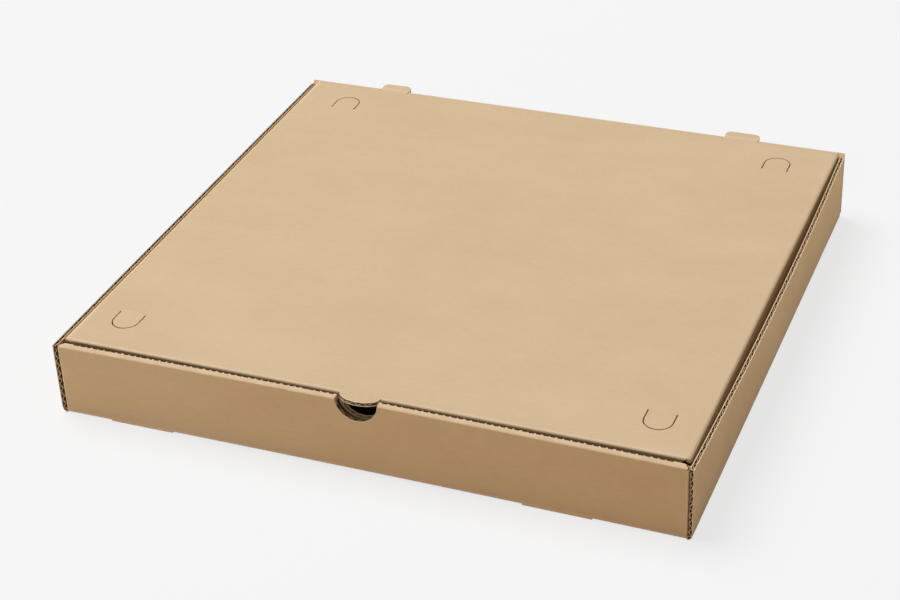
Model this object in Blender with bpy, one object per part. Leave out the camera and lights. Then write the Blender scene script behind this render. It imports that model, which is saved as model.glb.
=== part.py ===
"""A large takeaway pizza box folded from one sheet of plain corrugated board.

Metres, +Z up, the front of the box towards -Y. The hinged half of the sheet is the node lid,
the rest is the node tray, and four U-shaped die cuts in the lid leave vent flaps that push in.
"""

import math

import bmesh
import bpy
from mathutils import Vector

MM = 0.001

# Corrugated board
BOARD = 3.2 * MM
LINER = 0.45 * MM
FLUTE_PITCH = 6.3 * MM
FLUTE_DEPTH = 4.0 * MM
FLUTE_MARGIN = 1.2 * MM
GROOVE_DEPTH = 2.4 * MM
GROOVE_LIP = 0.65 * MM
PLY_GAP = 0.3 * MM

# Width of an open flute at its foot, halfway up and at its crest, as shares of the pitch
FLUTE_FOOT = 0.76
FLUTE_MIDDLE = 0.42
FLUTE_CREST = 0.12

# Overall sizes
WIDTH = 456.0 * MM
DEPTH = 433.0 * MM
HEIGHT = 57.0 * MM
SIDE_DROP = 2.0 * MM
FRONT_DROP = 1.2 * MM
SIDE_BOW = 3.0 * MM
BOW_POWER = 1.4

# Outer radii of the folds
SOFT_FOLD = 4.0 * MM
SHARP_FOLD = 2.2 * MM
CRISP_FOLD = 1.3 * MM

# Double front wall
CORNER_CHAMFER = 4.4 * MM
LOCK_TAB_WIDTH = 46.5 * MM
LEFT_LOCK_INSET = 63.0 * MM
RIGHT_LOCK_INSET = 90.0 * MM
SLOT_CLEARANCE = 0.5 * MM
NOTCH_RADIUS = 15.2 * MM
NICK_PITCH = 4.8 * MM
NICK_LENGTH = 2.9 * MM
NICK_DEPTH = 1.5 * MM

# Corner flaps inside the walls
CORNER_FLAP = 36.0 * MM
CORNER_FLAP_SLANT = 27.6 * MM
REAR_FLAP = 48.0 * MM
REAR_FLAP_DROP = 8.0 * MM
FLAP_RISE = 1.0 * MM
FLAP_CORNER = 9.0 * MM

# Lid
LID_CLEARANCE = 1.8 * MM
TUCK_CLEARANCE = 0.5 * MM
TUCK_LIFT = 19.0 * MM
TUCK_LEAN = 2.6 * MM
TUCK_INSET = 2.6 * MM
TUCK_TAPER = 14.0 * MM
SIDE_FLAP_LIFT = 17.0 * MM
SIDE_FLAP_TAPER = 46.0 * MM
SIDE_FLAP_INSET = 5.0 * MM
SIDE_FLAP_NECK = 7.0 * MM
RELIEF_RADIUS = 1.9 * MM
HINGE_GAP = 0.3 * MM

# Finger tab over the notch, and the two tabs behind the hinge
FINGER_TAB_WIDTH = 28.6 * MM
FINGER_TAB_SETBACK = 0.4 * MM
REAR_TAB_LENGTH = 9.3 * MM
REAR_TAB_CORNER = 4.6 * MM
LEFT_REAR_TAB_INSET = 75.0 * MM
LEFT_REAR_TAB_WIDTH = 24.4 * MM
RIGHT_REAR_TAB_INSET = 83.2 * MM
RIGHT_REAR_TAB_WIDTH = 27.4 * MM
TAB_CLEARANCE = 0.8 * MM

# Vent flaps in the lid
VENT_WIDTH = 18.6 * MM
VENT_LENGTH = 19.4 * MM
VENT_CUT = 0.5 * MM
FRONT_VENT_INSET = 30.2 * MM
REAR_VENT_INSET = 41.0 * MM
FRONT_VENT_ROOT = 51.7 * MM
REAR_VENT_ROOT = 43.5 * MM

# Facets
BOW_STATIONS = 16
WALL_STEPS = 4
FOLD_STEPS = 6
ROUND_STEPS = 20
OVERLAP = 6.0 * MM
PAST = 3.0 * MM

# Colour, roughness and metallic of each material
TRAY_FINISH = ("kraft_tray", (0.42, 0.27, 0.145, 1.0), 0.86, 0.0)
LID_FINISH = ("kraft_lid", (0.56, 0.40, 0.245, 1.0), 0.84, 0.0)
VENT_FINISH = ("kraft_vent", (0.53, 0.375, 0.225, 1.0), 0.84, 0.0)

# Places that follow from the sizes above. The tabs behind the hinge count in the overall depth.
FRONT_Y = -(DEPTH + REAR_TAB_LENGTH) / 2
BACK_Y = FRONT_Y + DEPTH
SIDE_X = WIDTH / 2
LID_TOP = HEIGHT
SIDE_HEIGHT = HEIGHT - SIDE_DROP
FRONT_HEIGHT = HEIGHT - FRONT_DROP
WALL_INSIDE_X = SIDE_X - BOARD
PANEL_END_X = WALL_INSIDE_X - PLY_GAP
INNER_END_X = PANEL_END_X - CORNER_CHAMFER
FRONT_PLY_INSIDE = FRONT_Y + BOARD
INNER_PLY_FRONT = FRONT_PLY_INSIDE + PLY_GAP
INNER_PLY_BACK = INNER_PLY_FRONT + BOARD
SIDE_REAR_Y = BACK_Y - BOARD - PLY_GAP
LID_X = WALL_INSIDE_X - LID_CLEARANCE
LID_FRONT_Y = INNER_PLY_BACK + TUCK_CLEARANCE
LID_UNDER = LID_TOP - BOARD
FRONT_VENT_Y = FRONT_Y + FRONT_VENT_ROOT
REAR_VENT_Y = BACK_Y - REAR_VENT_ROOT


def clear_scene():
    for item in list(bpy.data.objects):
        bpy.data.objects.remove(item, do_unlink=True)


def solid(name, points, faces):
    """An object with one closed mesh, its faces turned outwards."""
    mesh = bpy.data.meshes.new(name)
    mesh.from_pydata([tuple(point) for point in points], [], faces)
    form = bmesh.new()
    form.from_mesh(mesh)
    bmesh.ops.recalc_face_normals(form, faces=form.faces)
    form.to_mesh(mesh)
    form.free()
    item = bpy.data.objects.new(name, mesh)
    bpy.context.scene.collection.objects.link(item)
    return item


def ring_loft(name, rings):
    """A closed solid through rings that all have the same number of points."""
    count = len(rings[0])
    points = [point for ring in rings for point in ring]
    faces = [tuple(range(count)), tuple(range(len(points) - count, len(points)))]
    for row in range(len(rings) - 1):
        start = row * count
        for step in range(count):
            ahead = (step + 1) % count
            faces.append((start + step, start + ahead, start + count + ahead, start + count + step))
    return solid(name, points, faces)


def along_x(outline, low, high):
    """A prism of a (y, z) outline."""
    return ring_loft("prism", [[(x, y, z) for y, z in outline] for x in (low, high)])


def along_y(outline, low, high):
    """A prism of an (x, z) outline."""
    return ring_loft("prism", [[(x, y, z) for x, z in outline] for y in (low, high)])


def along_z(outline, low, high):
    """A prism of an (x, y) outline."""
    return ring_loft("prism", [[(x, y, z) for x, y in outline] for z in (low, high)])


def rectangle(left, bottom, right, top):
    return [(left, bottom), (right, bottom), (right, top), (left, top)]


def arc(centre, radius, start, end, steps=FOLD_STEPS):
    """Points on an arc from start to end, in degrees."""
    points = []
    for step in range(steps + 1):
        angle = math.radians(start + (end - start) * step / steps)
        points.append((centre[0] + radius * math.cos(angle), centre[1] + radius * math.sin(angle)))
    return points


def clipped(outline, through, normal):
    """The part of an outline on the side of a line that its normal points away from."""
    kept = []
    for here, there in zip(outline, outline[1:] + outline[:1]):
        before = (here[0] - through[0]) * normal[0] + (here[1] - through[1]) * normal[1]
        after = (there[0] - through[0]) * normal[0] + (there[1] - through[1]) * normal[1]
        if before <= 0:
            kept.append(here)
        if before * after < 0:
            share = before / (before - after)
            kept.append(tuple(a + (b - a) * share for a, b in zip(here, there)))
    return kept


def group(items):
    """One object that holds several separate solids."""
    points, faces = [], []
    for item in items:
        start = len(points)
        points += [tuple(vertex.co) for vertex in item.data.vertices]
        faces += [tuple(start + index for index in face.vertices) for face in item.data.polygons]
        bpy.data.objects.remove(item, do_unlink=True)
    mesh = bpy.data.meshes.new("group")
    mesh.from_pydata(points, [], faces)
    joined = bpy.data.objects.new("group", mesh)
    bpy.context.scene.collection.objects.link(joined)
    return joined


def combined(base, others, operation):
    """The base joined with, or cut by, each of the others in turn."""
    for other in others:
        modifier = base.modifiers.new("shape", "BOOLEAN")
        modifier.operation = operation
        modifier.solver = "EXACT"
        modifier.object = other
    bpy.context.view_layer.update()
    graph = bpy.context.evaluated_depsgraph_get()
    mesh = bpy.data.meshes.new_from_object(base.evaluated_get(graph))
    base.modifiers.clear()
    base.data = mesh
    for other in others:
        bpy.data.objects.remove(other, do_unlink=True)
    return base


def joined(items):
    return combined(items[0], items[1:], "UNION")


def cut(base, cutters):
    return combined(base, cutters, "DIFFERENCE")


def finished(item, name, origin, finish):
    """Names the item, puts its origin at a point and gives it its material."""
    item.name = name
    item.data.name = name
    for vertex in item.data.vertices:
        vertex.co -= Vector(origin)
    item.location = origin
    label, colour, roughness, metallic = finish
    material = bpy.data.materials.new(label)
    material.use_nodes = True
    shader = material.node_tree.nodes["Principled BSDF"]
    shader.inputs["Base Color"].default_value = colour
    shader.inputs["Roughness"].default_value = roughness
    shader.inputs["Metallic"].default_value = metallic
    item.data.materials.clear()
    item.data.materials.append(material)
    return item


def flute_cell(start, upside_down):
    """One open flute as (run, height) points, between the wavy middle sheet and one liner.

    The run is measured along the board across the flutes, the height from its outer face.
    """
    tip = BOARD - 2 * LINER
    levels = ((FLUTE_FOOT, LINER), (FLUTE_MIDDLE, BOARD / 2), (FLUTE_CREST, tip))
    profile = [(0.5 - width / 2, height) for width, height in levels]
    profile += [(0.5 + width / 2, height) for width, height in reversed(levels)]
    if upside_down:
        profile = [(share, BOARD - height) for share, height in profile]
    return [(start + share * FLUTE_PITCH, height) for share, height in profile]


def flute_cells(low, high):
    """The open flutes that fit whole between two places on a cut edge, turned up and down in turn."""
    cells = []
    count = int((high - low) / (FLUTE_PITCH / 2)) - 1
    spare = (high - low) - (count + 1) * FLUTE_PITCH / 2
    for number in range(count):
        start = low + spare / 2 + number * FLUTE_PITCH / 2
        cells.append((start + FLUTE_PITCH / 2, flute_cell(start, number % 2 == 1)))
    return cells


def bowed_x(y, height):
    """How far a side wall leans out at a place along it and a height."""
    middle = (FRONT_Y + SIDE_REAR_Y) / 2
    reach = (SIDE_REAR_Y - FRONT_Y) / 2
    swell = 1 - ((y - middle) / reach) ** 2
    return SIDE_BOW * swell * (max(0.0, height) / SIDE_HEIGHT) ** BOW_POWER


def side_profile():
    """The side wall with its rounded bottom fold and the open groove along its cut top edge."""
    fold = (SIDE_X - SOFT_FOLD, SOFT_FOLD)
    rises = [SOFT_FOLD + (SIDE_HEIGHT - SOFT_FOLD) * step / WALL_STEPS for step in range(1, WALL_STEPS)]
    outer = [(fold[0] - OVERLAP, 0.0)] + arc(fold, SOFT_FOLD, -90, 0)
    outer += [(SIDE_X, rise) for rise in rises]
    groove_floor = SIDE_HEIGHT - GROOVE_DEPTH
    top = [
        (SIDE_X, SIDE_HEIGHT),
        (SIDE_X - LINER, SIDE_HEIGHT),
        (SIDE_X - GROOVE_LIP, groove_floor),
        (WALL_INSIDE_X + GROOVE_LIP, groove_floor),
        (WALL_INSIDE_X + LINER, SIDE_HEIGHT),
        (WALL_INSIDE_X, SIDE_HEIGHT),
    ]
    inner = [(WALL_INSIDE_X, rise) for rise in reversed(rises)] + arc(fold, SOFT_FOLD - BOARD, 0, -90)
    return outer + top + inner + [(fold[0] - OVERLAP, BOARD)]


def board_place(run, height):
    """A point of the side wall's cut front end: run down from its top, height in from its face."""
    straight = SIDE_HEIGHT - SOFT_FOLD
    if run <= straight:
        return SIDE_X - height, SIDE_HEIGHT - run
    radius = SOFT_FOLD - BOARD / 2
    angle = -min(run - straight, radius * math.pi / 2) / radius
    reach = SOFT_FOLD - height
    return SIDE_X - SOFT_FOLD + reach * math.cos(angle), SOFT_FOLD + reach * math.sin(angle)


def side_wall(side):
    """One side wall with its open flutes at the front and its corner flap behind the back wall."""
    profile = side_profile()
    end = SIDE_REAR_Y - SHARP_FOLD
    rings = []
    for station in range(BOW_STATIONS + 1):
        y = FRONT_Y + (end - FRONT_Y) * station / BOW_STATIONS
        rings.append([(side * (x + bowed_x(y, z)), y, z) for x, z in profile])
    wall = ring_loft("wall", rings)
    path = SIDE_HEIGHT - SOFT_FOLD + (SOFT_FOLD - BOARD / 2) * math.pi / 2
    cells = []
    for _, cell in flute_cells(GROOVE_DEPTH, path):
        outline = [board_place(run, height) for run, height in cell]
        outline = [(side * x, z) for x, z in outline]
        cells.append(along_y(outline, FRONT_Y - PAST, FRONT_Y + FLUTE_DEPTH))
    cut(wall, [group(cells)])
    cut(wall, [front_fold_cutter(side)])
    return joined([wall, rear_corner_flap(side)])


def front_fold_cutter(side):
    """Ends the flat foot of a side wall behind the rounded fold of the front panel."""
    outer = PANEL_END_X - PLY_GAP / 2
    inner = SIDE_X - SOFT_FOLD - OVERLAP - PAST
    plan = rectangle(inner, FRONT_Y - PAST, outer, FRONT_Y + SHARP_FOLD)
    return along_z([(side * x, y) for x, y in plan], -PAST, BOARD + PAST)


def rear_corner_flap(side):
    """The flap that turns the back corner and lies inside the back wall."""
    centre = (SIDE_X - SHARP_FOLD, SIDE_REAR_Y - SHARP_FOLD)
    inner_corner = (WALL_INSIDE_X, SIDE_REAR_Y - BOARD)
    plan = [(SIDE_X, centre[1] - BOARD)] + arc(centre, SHARP_FOLD, 0, 90)
    plan += [(SIDE_X - 2 * BOARD, SIDE_REAR_Y), (SIDE_X - 2 * BOARD, SIDE_REAR_Y - BOARD)]
    plan += [inner_corner, (WALL_INSIDE_X, centre[1] - BOARD)]
    corner = along_z([(side * x, y) for x, y in plan], SOFT_FOLD, SIDE_HEIGHT - GROOVE_DEPTH)
    low = BOARD + FLAP_RISE
    top = HEIGHT - REAR_FLAP_DROP
    root = SIDE_X - BOARD / 2
    far = WALL_INSIDE_X - REAR_FLAP
    face = [(root, low), (root, top), (far + FLAP_CORNER, top), (far, top - FLAP_CORNER), (far, low)]
    flap = along_y([(side * x, z) for x, z in face], SIDE_REAR_Y - BOARD, SIDE_REAR_Y)
    return joined([corner, flap])


def bottom_panel():
    reach = SIDE_X - SOFT_FOLD
    outline = rectangle(-reach, FRONT_Y + SHARP_FOLD, reach, BACK_Y - SHARP_FOLD)
    return along_z(outline, 0.0, BOARD)


def front_wall():
    """The front panel, the narrow spine on top of it and the second panel folded down inside."""
    foot = (FRONT_Y + SHARP_FOLD, SHARP_FOLD)
    crest = (FRONT_Y + CRISP_FOLD, FRONT_HEIGHT - CRISP_FOLD)
    inner_crest = (INNER_PLY_BACK - CRISP_FOLD, FRONT_HEIGHT - CRISP_FOLD)
    section = arc(foot, SHARP_FOLD, 270, 180) + arc(crest, CRISP_FOLD, 180, 90)
    section += arc(inner_crest, CRISP_FOLD, 90, 0)
    section += [
        (INNER_PLY_BACK, BOARD + PLY_GAP),
        (INNER_PLY_FRONT, BOARD + PLY_GAP),
        (INNER_PLY_FRONT, FRONT_HEIGHT - BOARD),
        (FRONT_PLY_INSIDE, FRONT_HEIGHT - BOARD),
        (FRONT_PLY_INSIDE, 0.0),
    ]
    wall = along_x(section, -PANEL_END_X, PANEL_END_X)
    cutters = [notch_cutter(), crease_nicks()]
    for side in (-1, 1):
        cutters += spine_end_cutters(side)
        cutters.append(end_round_cutter(side))
    return cut(wall, cutters)


def crease_nicks():
    """The row of short cuts that lets the board fold sharply from the spine to the inner panel."""
    low = FRONT_HEIGHT - NICK_DEPTH
    outline = rectangle(INNER_PLY_BACK - NICK_DEPTH, low, INNER_PLY_BACK + PAST, FRONT_HEIGHT + PAST)
    count = int((INNER_END_X - NOTCH_RADIUS) / NICK_PITCH) - 1
    nicks = []
    for side in (-1, 1):
        for number in range(count):
            start = NOTCH_RADIUS + (number + 0.5) * NICK_PITCH
            left, right = sorted((side * start, side * (start + NICK_LENGTH)))
            nicks.append(along_x(outline, left, right))
    return group(nicks)


def spine_end_cutters(side):
    """Shortens the inner panel and slants the ends of the spine, so that a corner flap has room."""
    mid_gap = (FRONT_PLY_INSIDE + INNER_PLY_FRONT) / 2
    beyond = PANEL_END_X + PAST
    under = FRONT_HEIGHT - BOARD
    plan = rectangle(INNER_END_X, mid_gap, beyond, INNER_PLY_BACK + PAST)
    inner = along_z([(side * x, y) for x, y in plan], BOARD + PLY_GAP / 2, under - PLY_GAP / 2)
    front = (PANEL_END_X - CRISP_FOLD / 2, FRONT_Y + CRISP_FOLD)
    slope = (front[0] - INNER_END_X + PLY_GAP) / (INNER_PLY_BACK - front[1])
    back = (front[0] - slope * (INNER_PLY_BACK + PAST - front[1]), INNER_PLY_BACK + PAST)
    slant = [front, (beyond, front[1]), (beyond, back[1]), back]
    spine = along_z([(side * x, y) for x, y in slant], under - PLY_GAP, FRONT_HEIGHT + PAST)
    return [inner, spine]


def end_round_cutter(side):
    """Rounds the upright fold between the front panel and its corner flap."""
    centre = (PANEL_END_X - CRISP_FOLD, FRONT_Y + CRISP_FOLD)
    plan = arc(centre, CRISP_FOLD, -90, 0) + [(PANEL_END_X + PAST, centre[1])]
    plan += [(PANEL_END_X + PAST, FRONT_Y - PAST), (centre[0], FRONT_Y - PAST)]
    return along_z([(side * x, y) for x, y in plan], BOARD + PLY_GAP, FRONT_HEIGHT + PAST)


def notch_height(x):
    """Height of the notch's edge at a distance from its middle."""
    reach = min(abs(x), NOTCH_RADIUS - PLY_GAP)
    return FRONT_HEIGHT - math.sqrt(NOTCH_RADIUS ** 2 - reach ** 2)


def notch_cutter():
    outline = arc((0.0, FRONT_HEIGHT), NOTCH_RADIUS, 180, 360, ROUND_STEPS)
    outline += [(NOTCH_RADIUS, FRONT_HEIGHT + PAST), (-NOTCH_RADIUS, FRONT_HEIGHT + PAST)]
    return along_y(outline, FRONT_Y - PAST, INNER_PLY_BACK + PAST)


def notch_flutes():
    """The open flutes in the edge of the notch, in both layers of the front wall."""
    cells = []
    for face in (FRONT_Y, INNER_PLY_FRONT):
        for middle, cell in flute_cells(FLUTE_MARGIN - NOTCH_RADIUS, NOTCH_RADIUS - FLUTE_MARGIN):
            edge = notch_height(middle)
            outline = [(x, face + height) for x, height in cell]
            cells.append(along_z(outline, edge - FLUTE_DEPTH, edge + FLUTE_DEPTH))
    return group(cells)


def front_corner_flap(side):
    """The flap on each end of the front panel, folded back along the inside of the side wall."""
    low = BOARD + FLAP_RISE
    top = FRONT_HEIGHT - BOARD - FLAP_RISE
    end = FRONT_Y + CORNER_FLAP
    root = FRONT_Y + BOARD / 2
    shoulder = INNER_PLY_BACK - BOARD / 2
    outline = [(root, low), (root, top), (shoulder, top), (shoulder + 2 * BOARD, top - FLAP_CORNER)]
    outline += [(end, top - CORNER_FLAP_SLANT), (end, low)]
    low_x, high_x = sorted((side * (PANEL_END_X - BOARD), side * PANEL_END_X))
    return along_x(outline, low_x, high_x)


def lock_tab_spans(clearance):
    """Left and right end of each lock tab, widened by a clearance."""
    reach = LOCK_TAB_WIDTH / 2 + clearance
    middles = (LEFT_LOCK_INSET - SIDE_X, SIDE_X - RIGHT_LOCK_INSET)
    return [(middle - reach, middle + reach) for middle in middles]


def lock_tabs():
    """Tabs at the foot of the inner front panel."""
    outline = rectangle(INNER_PLY_FRONT, PLY_GAP, INNER_PLY_BACK, BOARD * 2)
    return [along_x(outline, left, right) for left, right in lock_tab_spans(0.0)]


def lock_slot_edges():
    """The front panel runs straight down where a slot interrupts its bottom fold."""
    outline = rectangle(FRONT_Y, 0.0, FRONT_PLY_INSIDE - PLY_GAP, BOARD * 2)
    return [along_x(outline, left, right) for left, right in lock_tab_spans(SLOT_CLEARANCE)]


def lock_slots():
    """Slots through the bottom for the lock tabs."""
    outline = rectangle(FRONT_PLY_INSIDE, -PAST, INNER_PLY_BACK + SLOT_CLEARANCE, BOARD + PLY_GAP / 2)
    return group([along_x(outline, left, right) for left, right in lock_tab_spans(SLOT_CLEARANCE)])


def mitre(side):
    """A point and a normal of the slanted faces where the lid meets the back wall."""
    shift = side * HINGE_GAP / 2 / math.sqrt(2)
    return (BACK_Y + shift, LID_TOP - shift), (-side, side)


def back_wall():
    foot = (BACK_Y - SHARP_FOLD, SHARP_FOLD)
    crest = (BACK_Y - CRISP_FOLD, LID_TOP - CRISP_FOLD)
    section = [(BACK_Y - BOARD, 0.0)] + arc(foot, SHARP_FOLD, 270, 360)
    section += arc(crest, CRISP_FOLD, 0, 90) + [(BACK_Y - BOARD - PAST, LID_TOP)]
    section = clipped(section, *mitre(1))
    section = clipped(section, (BACK_Y - BOARD, 0.0), (-1, 0))
    wall = along_x(section, -SIDE_X + PLY_GAP, SIDE_X - PLY_GAP)
    return cut(wall, [rear_tab_slots(), corner_foot_cutter()])


def corner_foot_cutter():
    """Keeps the foot of the back wall clear of the rounded bottom folds of the side walls."""
    feet = []
    for side in (-1, 1):
        plan = rectangle(SIDE_X - SOFT_FOLD, BACK_Y - BOARD - PAST, SIDE_X + PAST, BACK_Y + PAST)
        feet.append(along_z([(side * x, y) for x, y in plan], -PAST, SHARP_FOLD))
    return group(feet)


def rear_tabs():
    """Middle and width of each tab behind the hinge."""
    left = (LEFT_REAR_TAB_INSET - SIDE_X, LEFT_REAR_TAB_WIDTH)
    right = (SIDE_X - RIGHT_REAR_TAB_INSET, RIGHT_REAR_TAB_WIDTH)
    return (left, right)


def tab_outline(middle, width, start, end, corner):
    """A tab with rounded end corners, as (across, along) points."""
    left, right = middle - width / 2, middle + width / 2
    outline = [(left, start)] + arc((left + corner, end - corner), corner, 180, 90)
    return outline + arc((right - corner, end - corner), corner, 90, 0) + [(right, start)]


def rear_tab_slots():
    """Holes that the two tabs leave in the top of the back wall."""
    slots = []
    for middle, width in rear_tabs():
        reach = REAR_TAB_LENGTH + TAB_CLEARANCE
        outline = tab_outline(middle, width + 2 * TAB_CLEARANCE, -PAST, reach, REAR_TAB_CORNER)
        outline = [(x, LID_TOP - down) for x, down in outline]
        slots.append(along_y(outline, BACK_Y - BOARD - PAST, BACK_Y + PAST))
    return group(slots)


def rear_slot_flutes():
    """The open flutes in the edges of those holes."""
    cells = []
    for middle, width in rear_tabs():
        reach = width / 2 - REAR_TAB_CORNER / 2
        edge = LID_TOP - REAR_TAB_LENGTH - TAB_CLEARANCE
        for _, cell in flute_cells(middle - reach, middle + reach):
            outline = [(x, BACK_Y - height) for x, height in cell]
            cells.append(along_z(outline, edge - FLUTE_DEPTH, edge + TAB_CLEARANCE))
    return group(cells)


def tray():
    bottom = joined([bottom_panel(), back_wall(), side_wall(-1), side_wall(1)])
    front = joined([front_wall(), front_corner_flap(-1), front_corner_flap(1)] + lock_slot_edges())
    shell = cut(joined([bottom, front]), [lock_slots()])
    joined([shell] + lock_tabs())
    cut(shell, [notch_flutes(), rear_slot_flutes()])
    return finished(shell, "tray", (0.0, 0.0, 0.0), TRAY_FINISH)


def lid_panel():
    """The lid's top with its tuck flap, which leans in a little towards its lower edge."""
    fold = (LID_FRONT_Y + SHARP_FOLD, LID_TOP - SHARP_FOLD)
    low = TUCK_LIFT
    section = [(LID_FRONT_Y + TUCK_LEAN, low)] + arc(fold, SHARP_FOLD, 180, 90)
    section += [
        (BACK_Y + PAST, LID_TOP),
        (BACK_Y + PAST, LID_UNDER),
        (LID_FRONT_Y + BOARD, LID_UNDER),
        (LID_FRONT_Y + BOARD + TUCK_LEAN, low),
    ]
    reach = LID_X - SOFT_FOLD
    panel = along_x(section, -reach, reach)
    return cut(panel, [tuck_end_cutter(-1), tuck_end_cutter(1), finger_hole_cutter()])


def tuck_end_cutter(side):
    """Narrows the tuck flap towards its lower edge."""
    near = LID_X - SOFT_FOLD - TUCK_INSET
    low = TUCK_LIFT - PAST
    outline = [(near, LID_UNDER), (LID_X + PAST, LID_UNDER), (LID_X + PAST, low), (near - TUCK_TAPER, low)]
    end = LID_FRONT_Y + BOARD + TUCK_LEAN + PAST
    return along_y([(side * x, z) for x, z in outline], LID_FRONT_Y - PAST, end)


def finger_tab_length():
    return LID_FRONT_Y - FRONT_Y - FINGER_TAB_SETBACK


def finger_hole_cutter():
    """The hole that the finger tab leaves in the tuck flap below it."""
    reach = FINGER_TAB_WIDTH / 2
    depth = finger_tab_length() + SHARP_FOLD
    outline = [(-reach, LID_UNDER), (-reach, LID_UNDER - BOARD / 2)]
    for step in range(1, ROUND_STEPS):
        angle = math.pi * step / ROUND_STEPS
        outline.append((-reach * math.cos(angle), LID_UNDER - BOARD / 2 - depth * math.sin(angle)))
    outline += [(reach, LID_UNDER - BOARD / 2), (reach, LID_UNDER)]
    return along_y(outline, LID_FRONT_Y - PAST, LID_FRONT_Y + BOARD + TUCK_LEAN)


def finger_tab_edge(x):
    """How far the finger tab reaches past the lid's front fold at a distance from its middle."""
    share = min(1.0, abs(x) / (FINGER_TAB_WIDTH / 2))
    return LID_FRONT_Y - finger_tab_length() * math.sqrt(1 - share ** 2)


def finger_tab():
    """The half-round tab in the plane of the lid, over the notch."""
    reach = FINGER_TAB_WIDTH / 2
    outline = [(reach, LID_FRONT_Y + SHARP_FOLD + OVERLAP), (-reach, LID_FRONT_Y + SHARP_FOLD + OVERLAP)]
    for step in range(ROUND_STEPS + 1):
        x = -reach * math.cos(math.pi * step / ROUND_STEPS)
        outline.append((x, finger_tab_edge(x)))
    return along_z(outline, LID_UNDER, LID_TOP)


def finger_tab_flutes():
    cells = []
    reach = FINGER_TAB_WIDTH / 2
    for middle, cell in flute_cells(-reach, reach):
        outline = [(x, LID_TOP - height) for x, height in cell]
        edge = finger_tab_edge(middle)
        cells.append(along_y(outline, FRONT_Y - PAST, edge + FLUTE_DEPTH))
    return group(cells)


def lid_side(side):
    """The soft side fold, as long as the lid, and the shorter flap below it with its slanted ends."""
    fold = (LID_X - SOFT_FOLD, LID_TOP - SOFT_FOLD)
    low = SIDE_FLAP_LIFT
    inside = LID_X - BOARD
    profile = [(fold[0] - OVERLAP, LID_TOP)] + arc(fold, SOFT_FOLD, 90, 0)
    profile += [
        (LID_X, low),
        (LID_X - LINER, low),
        (LID_X - GROOVE_LIP, low + GROOVE_DEPTH),
        (inside + GROOVE_LIP, low + GROOVE_DEPTH),
        (inside + LINER, low),
        (inside, low),
    ]
    profile += arc(fold, SOFT_FOLD - BOARD, 0, 90) + [(fold[0] - OVERLAP, LID_UNDER)]
    outline = [(side * x, z) for x, z in profile]
    flap = along_y(outline, LID_FRONT_Y + SHARP_FOLD, BACK_Y + PAST)
    return cut(flap, side_flap_end_cutters(side))


def side_flap_end_cutters(side):
    """Slants the ends of a side flap and ends it short of the corner flaps."""
    top = LID_UNDER + PLY_GAP / 2
    neck = LID_TOP - SIDE_FLAP_NECK
    below = SIDE_FLAP_LIFT - PAST
    front = (LID_FRONT_Y + SIDE_FLAP_INSET, LID_FRONT_Y - PAST)
    rear = (SIDE_REAR_Y - BOARD - LID_CLEARANCE, BACK_Y + 2 * PAST)
    low_x, high_x = sorted((side * (LID_X + PAST), side * (LID_X - BOARD - PAST)))
    cutters = []
    for edge, far in (front, rear):
        slanted = edge - math.copysign(SIDE_FLAP_TAPER, far - edge)
        outline = [(far, top), (edge, top), (edge, neck), (slanted, below), (far, below)]
        cutters.append(along_x(outline, low_x, high_x))
    return cutters


def hinge_cutter():
    """The space behind the lid's rounded back edge and the slanted face below it."""
    crest = (BACK_Y - CRISP_FOLD, LID_TOP - CRISP_FOLD)
    meeting = math.degrees(math.acos(-HINGE_GAP / (2 * CRISP_FOLD))) - 45
    low = LID_UNDER - PAST
    through, _ = mitre(-1)
    outline = [(crest[0], LID_TOP + PAST)] + arc(crest, CRISP_FOLD, 90, meeting)
    outline += [(through[0] - through[1] + low, low)]
    outline += [(BACK_Y + 3 * PAST, low), (BACK_Y + 3 * PAST, LID_TOP + PAST)]
    return along_x(outline, -SIDE_X, SIDE_X)


def relief_cutter(side):
    """The small round hole at each front corner, where the lid's two folds meet."""
    centre = (side * (LID_X - RELIEF_RADIUS), LID_FRONT_Y + RELIEF_RADIUS)
    outline = arc(centre, RELIEF_RADIUS, 0, 360, ROUND_STEPS)[:-1]
    return along_z(outline, TUCK_LIFT - PAST, LID_TOP + PAST)


def rear_tab(middle, width):
    """A tab in the plane of the lid behind the hinge, with open flutes in its end."""
    start = BACK_Y - BOARD - OVERLAP
    end = BACK_Y + REAR_TAB_LENGTH
    tab = along_z(tab_outline(middle, width, start, end, REAR_TAB_CORNER), LID_UNDER, LID_TOP)
    reach = width / 2 - REAR_TAB_CORNER / 2
    cells = []
    for _, cell in flute_cells(middle - reach, middle + reach):
        outline = [(x, LID_TOP - height) for x, height in cell]
        cells.append(along_y(outline, end - FLUTE_DEPTH, end + PAST))
    return cut(tab, [group(cells)])


def vents():
    """Name, middle and fold line of each vent flap, and the way it points from its fold."""
    front, rear = LID_X - FRONT_VENT_INSET, LID_X - REAR_VENT_INSET
    return (
        ("vent_flap_front_left", -front, FRONT_VENT_Y, -1),
        ("vent_flap_front_right", front, FRONT_VENT_Y, -1),
        ("vent_flap_rear_left", -rear, REAR_VENT_Y, 1),
        ("vent_flap_rear_right", rear, REAR_VENT_Y, 1),
    )


def vent_outline(middle, fold, way, width, start, end):
    """A tongue with a half-round tip, as (x, y) points."""
    reach = width / 2
    outline = [(middle + reach, fold + way * start)]
    for x, y in arc((middle, end - reach), reach, 0, 180, ROUND_STEPS):
        outline.append((x, fold + way * y))
    return outline + [(middle - reach, fold + way * start)]


def vent_cutter(middle, fold, way):
    width = VENT_WIDTH + 2 * VENT_CUT
    outline = vent_outline(middle, fold, way, width, 0.0, VENT_LENGTH + VENT_CUT)
    return along_z(outline, LID_UNDER - PAST, LID_TOP + PAST)


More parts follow.
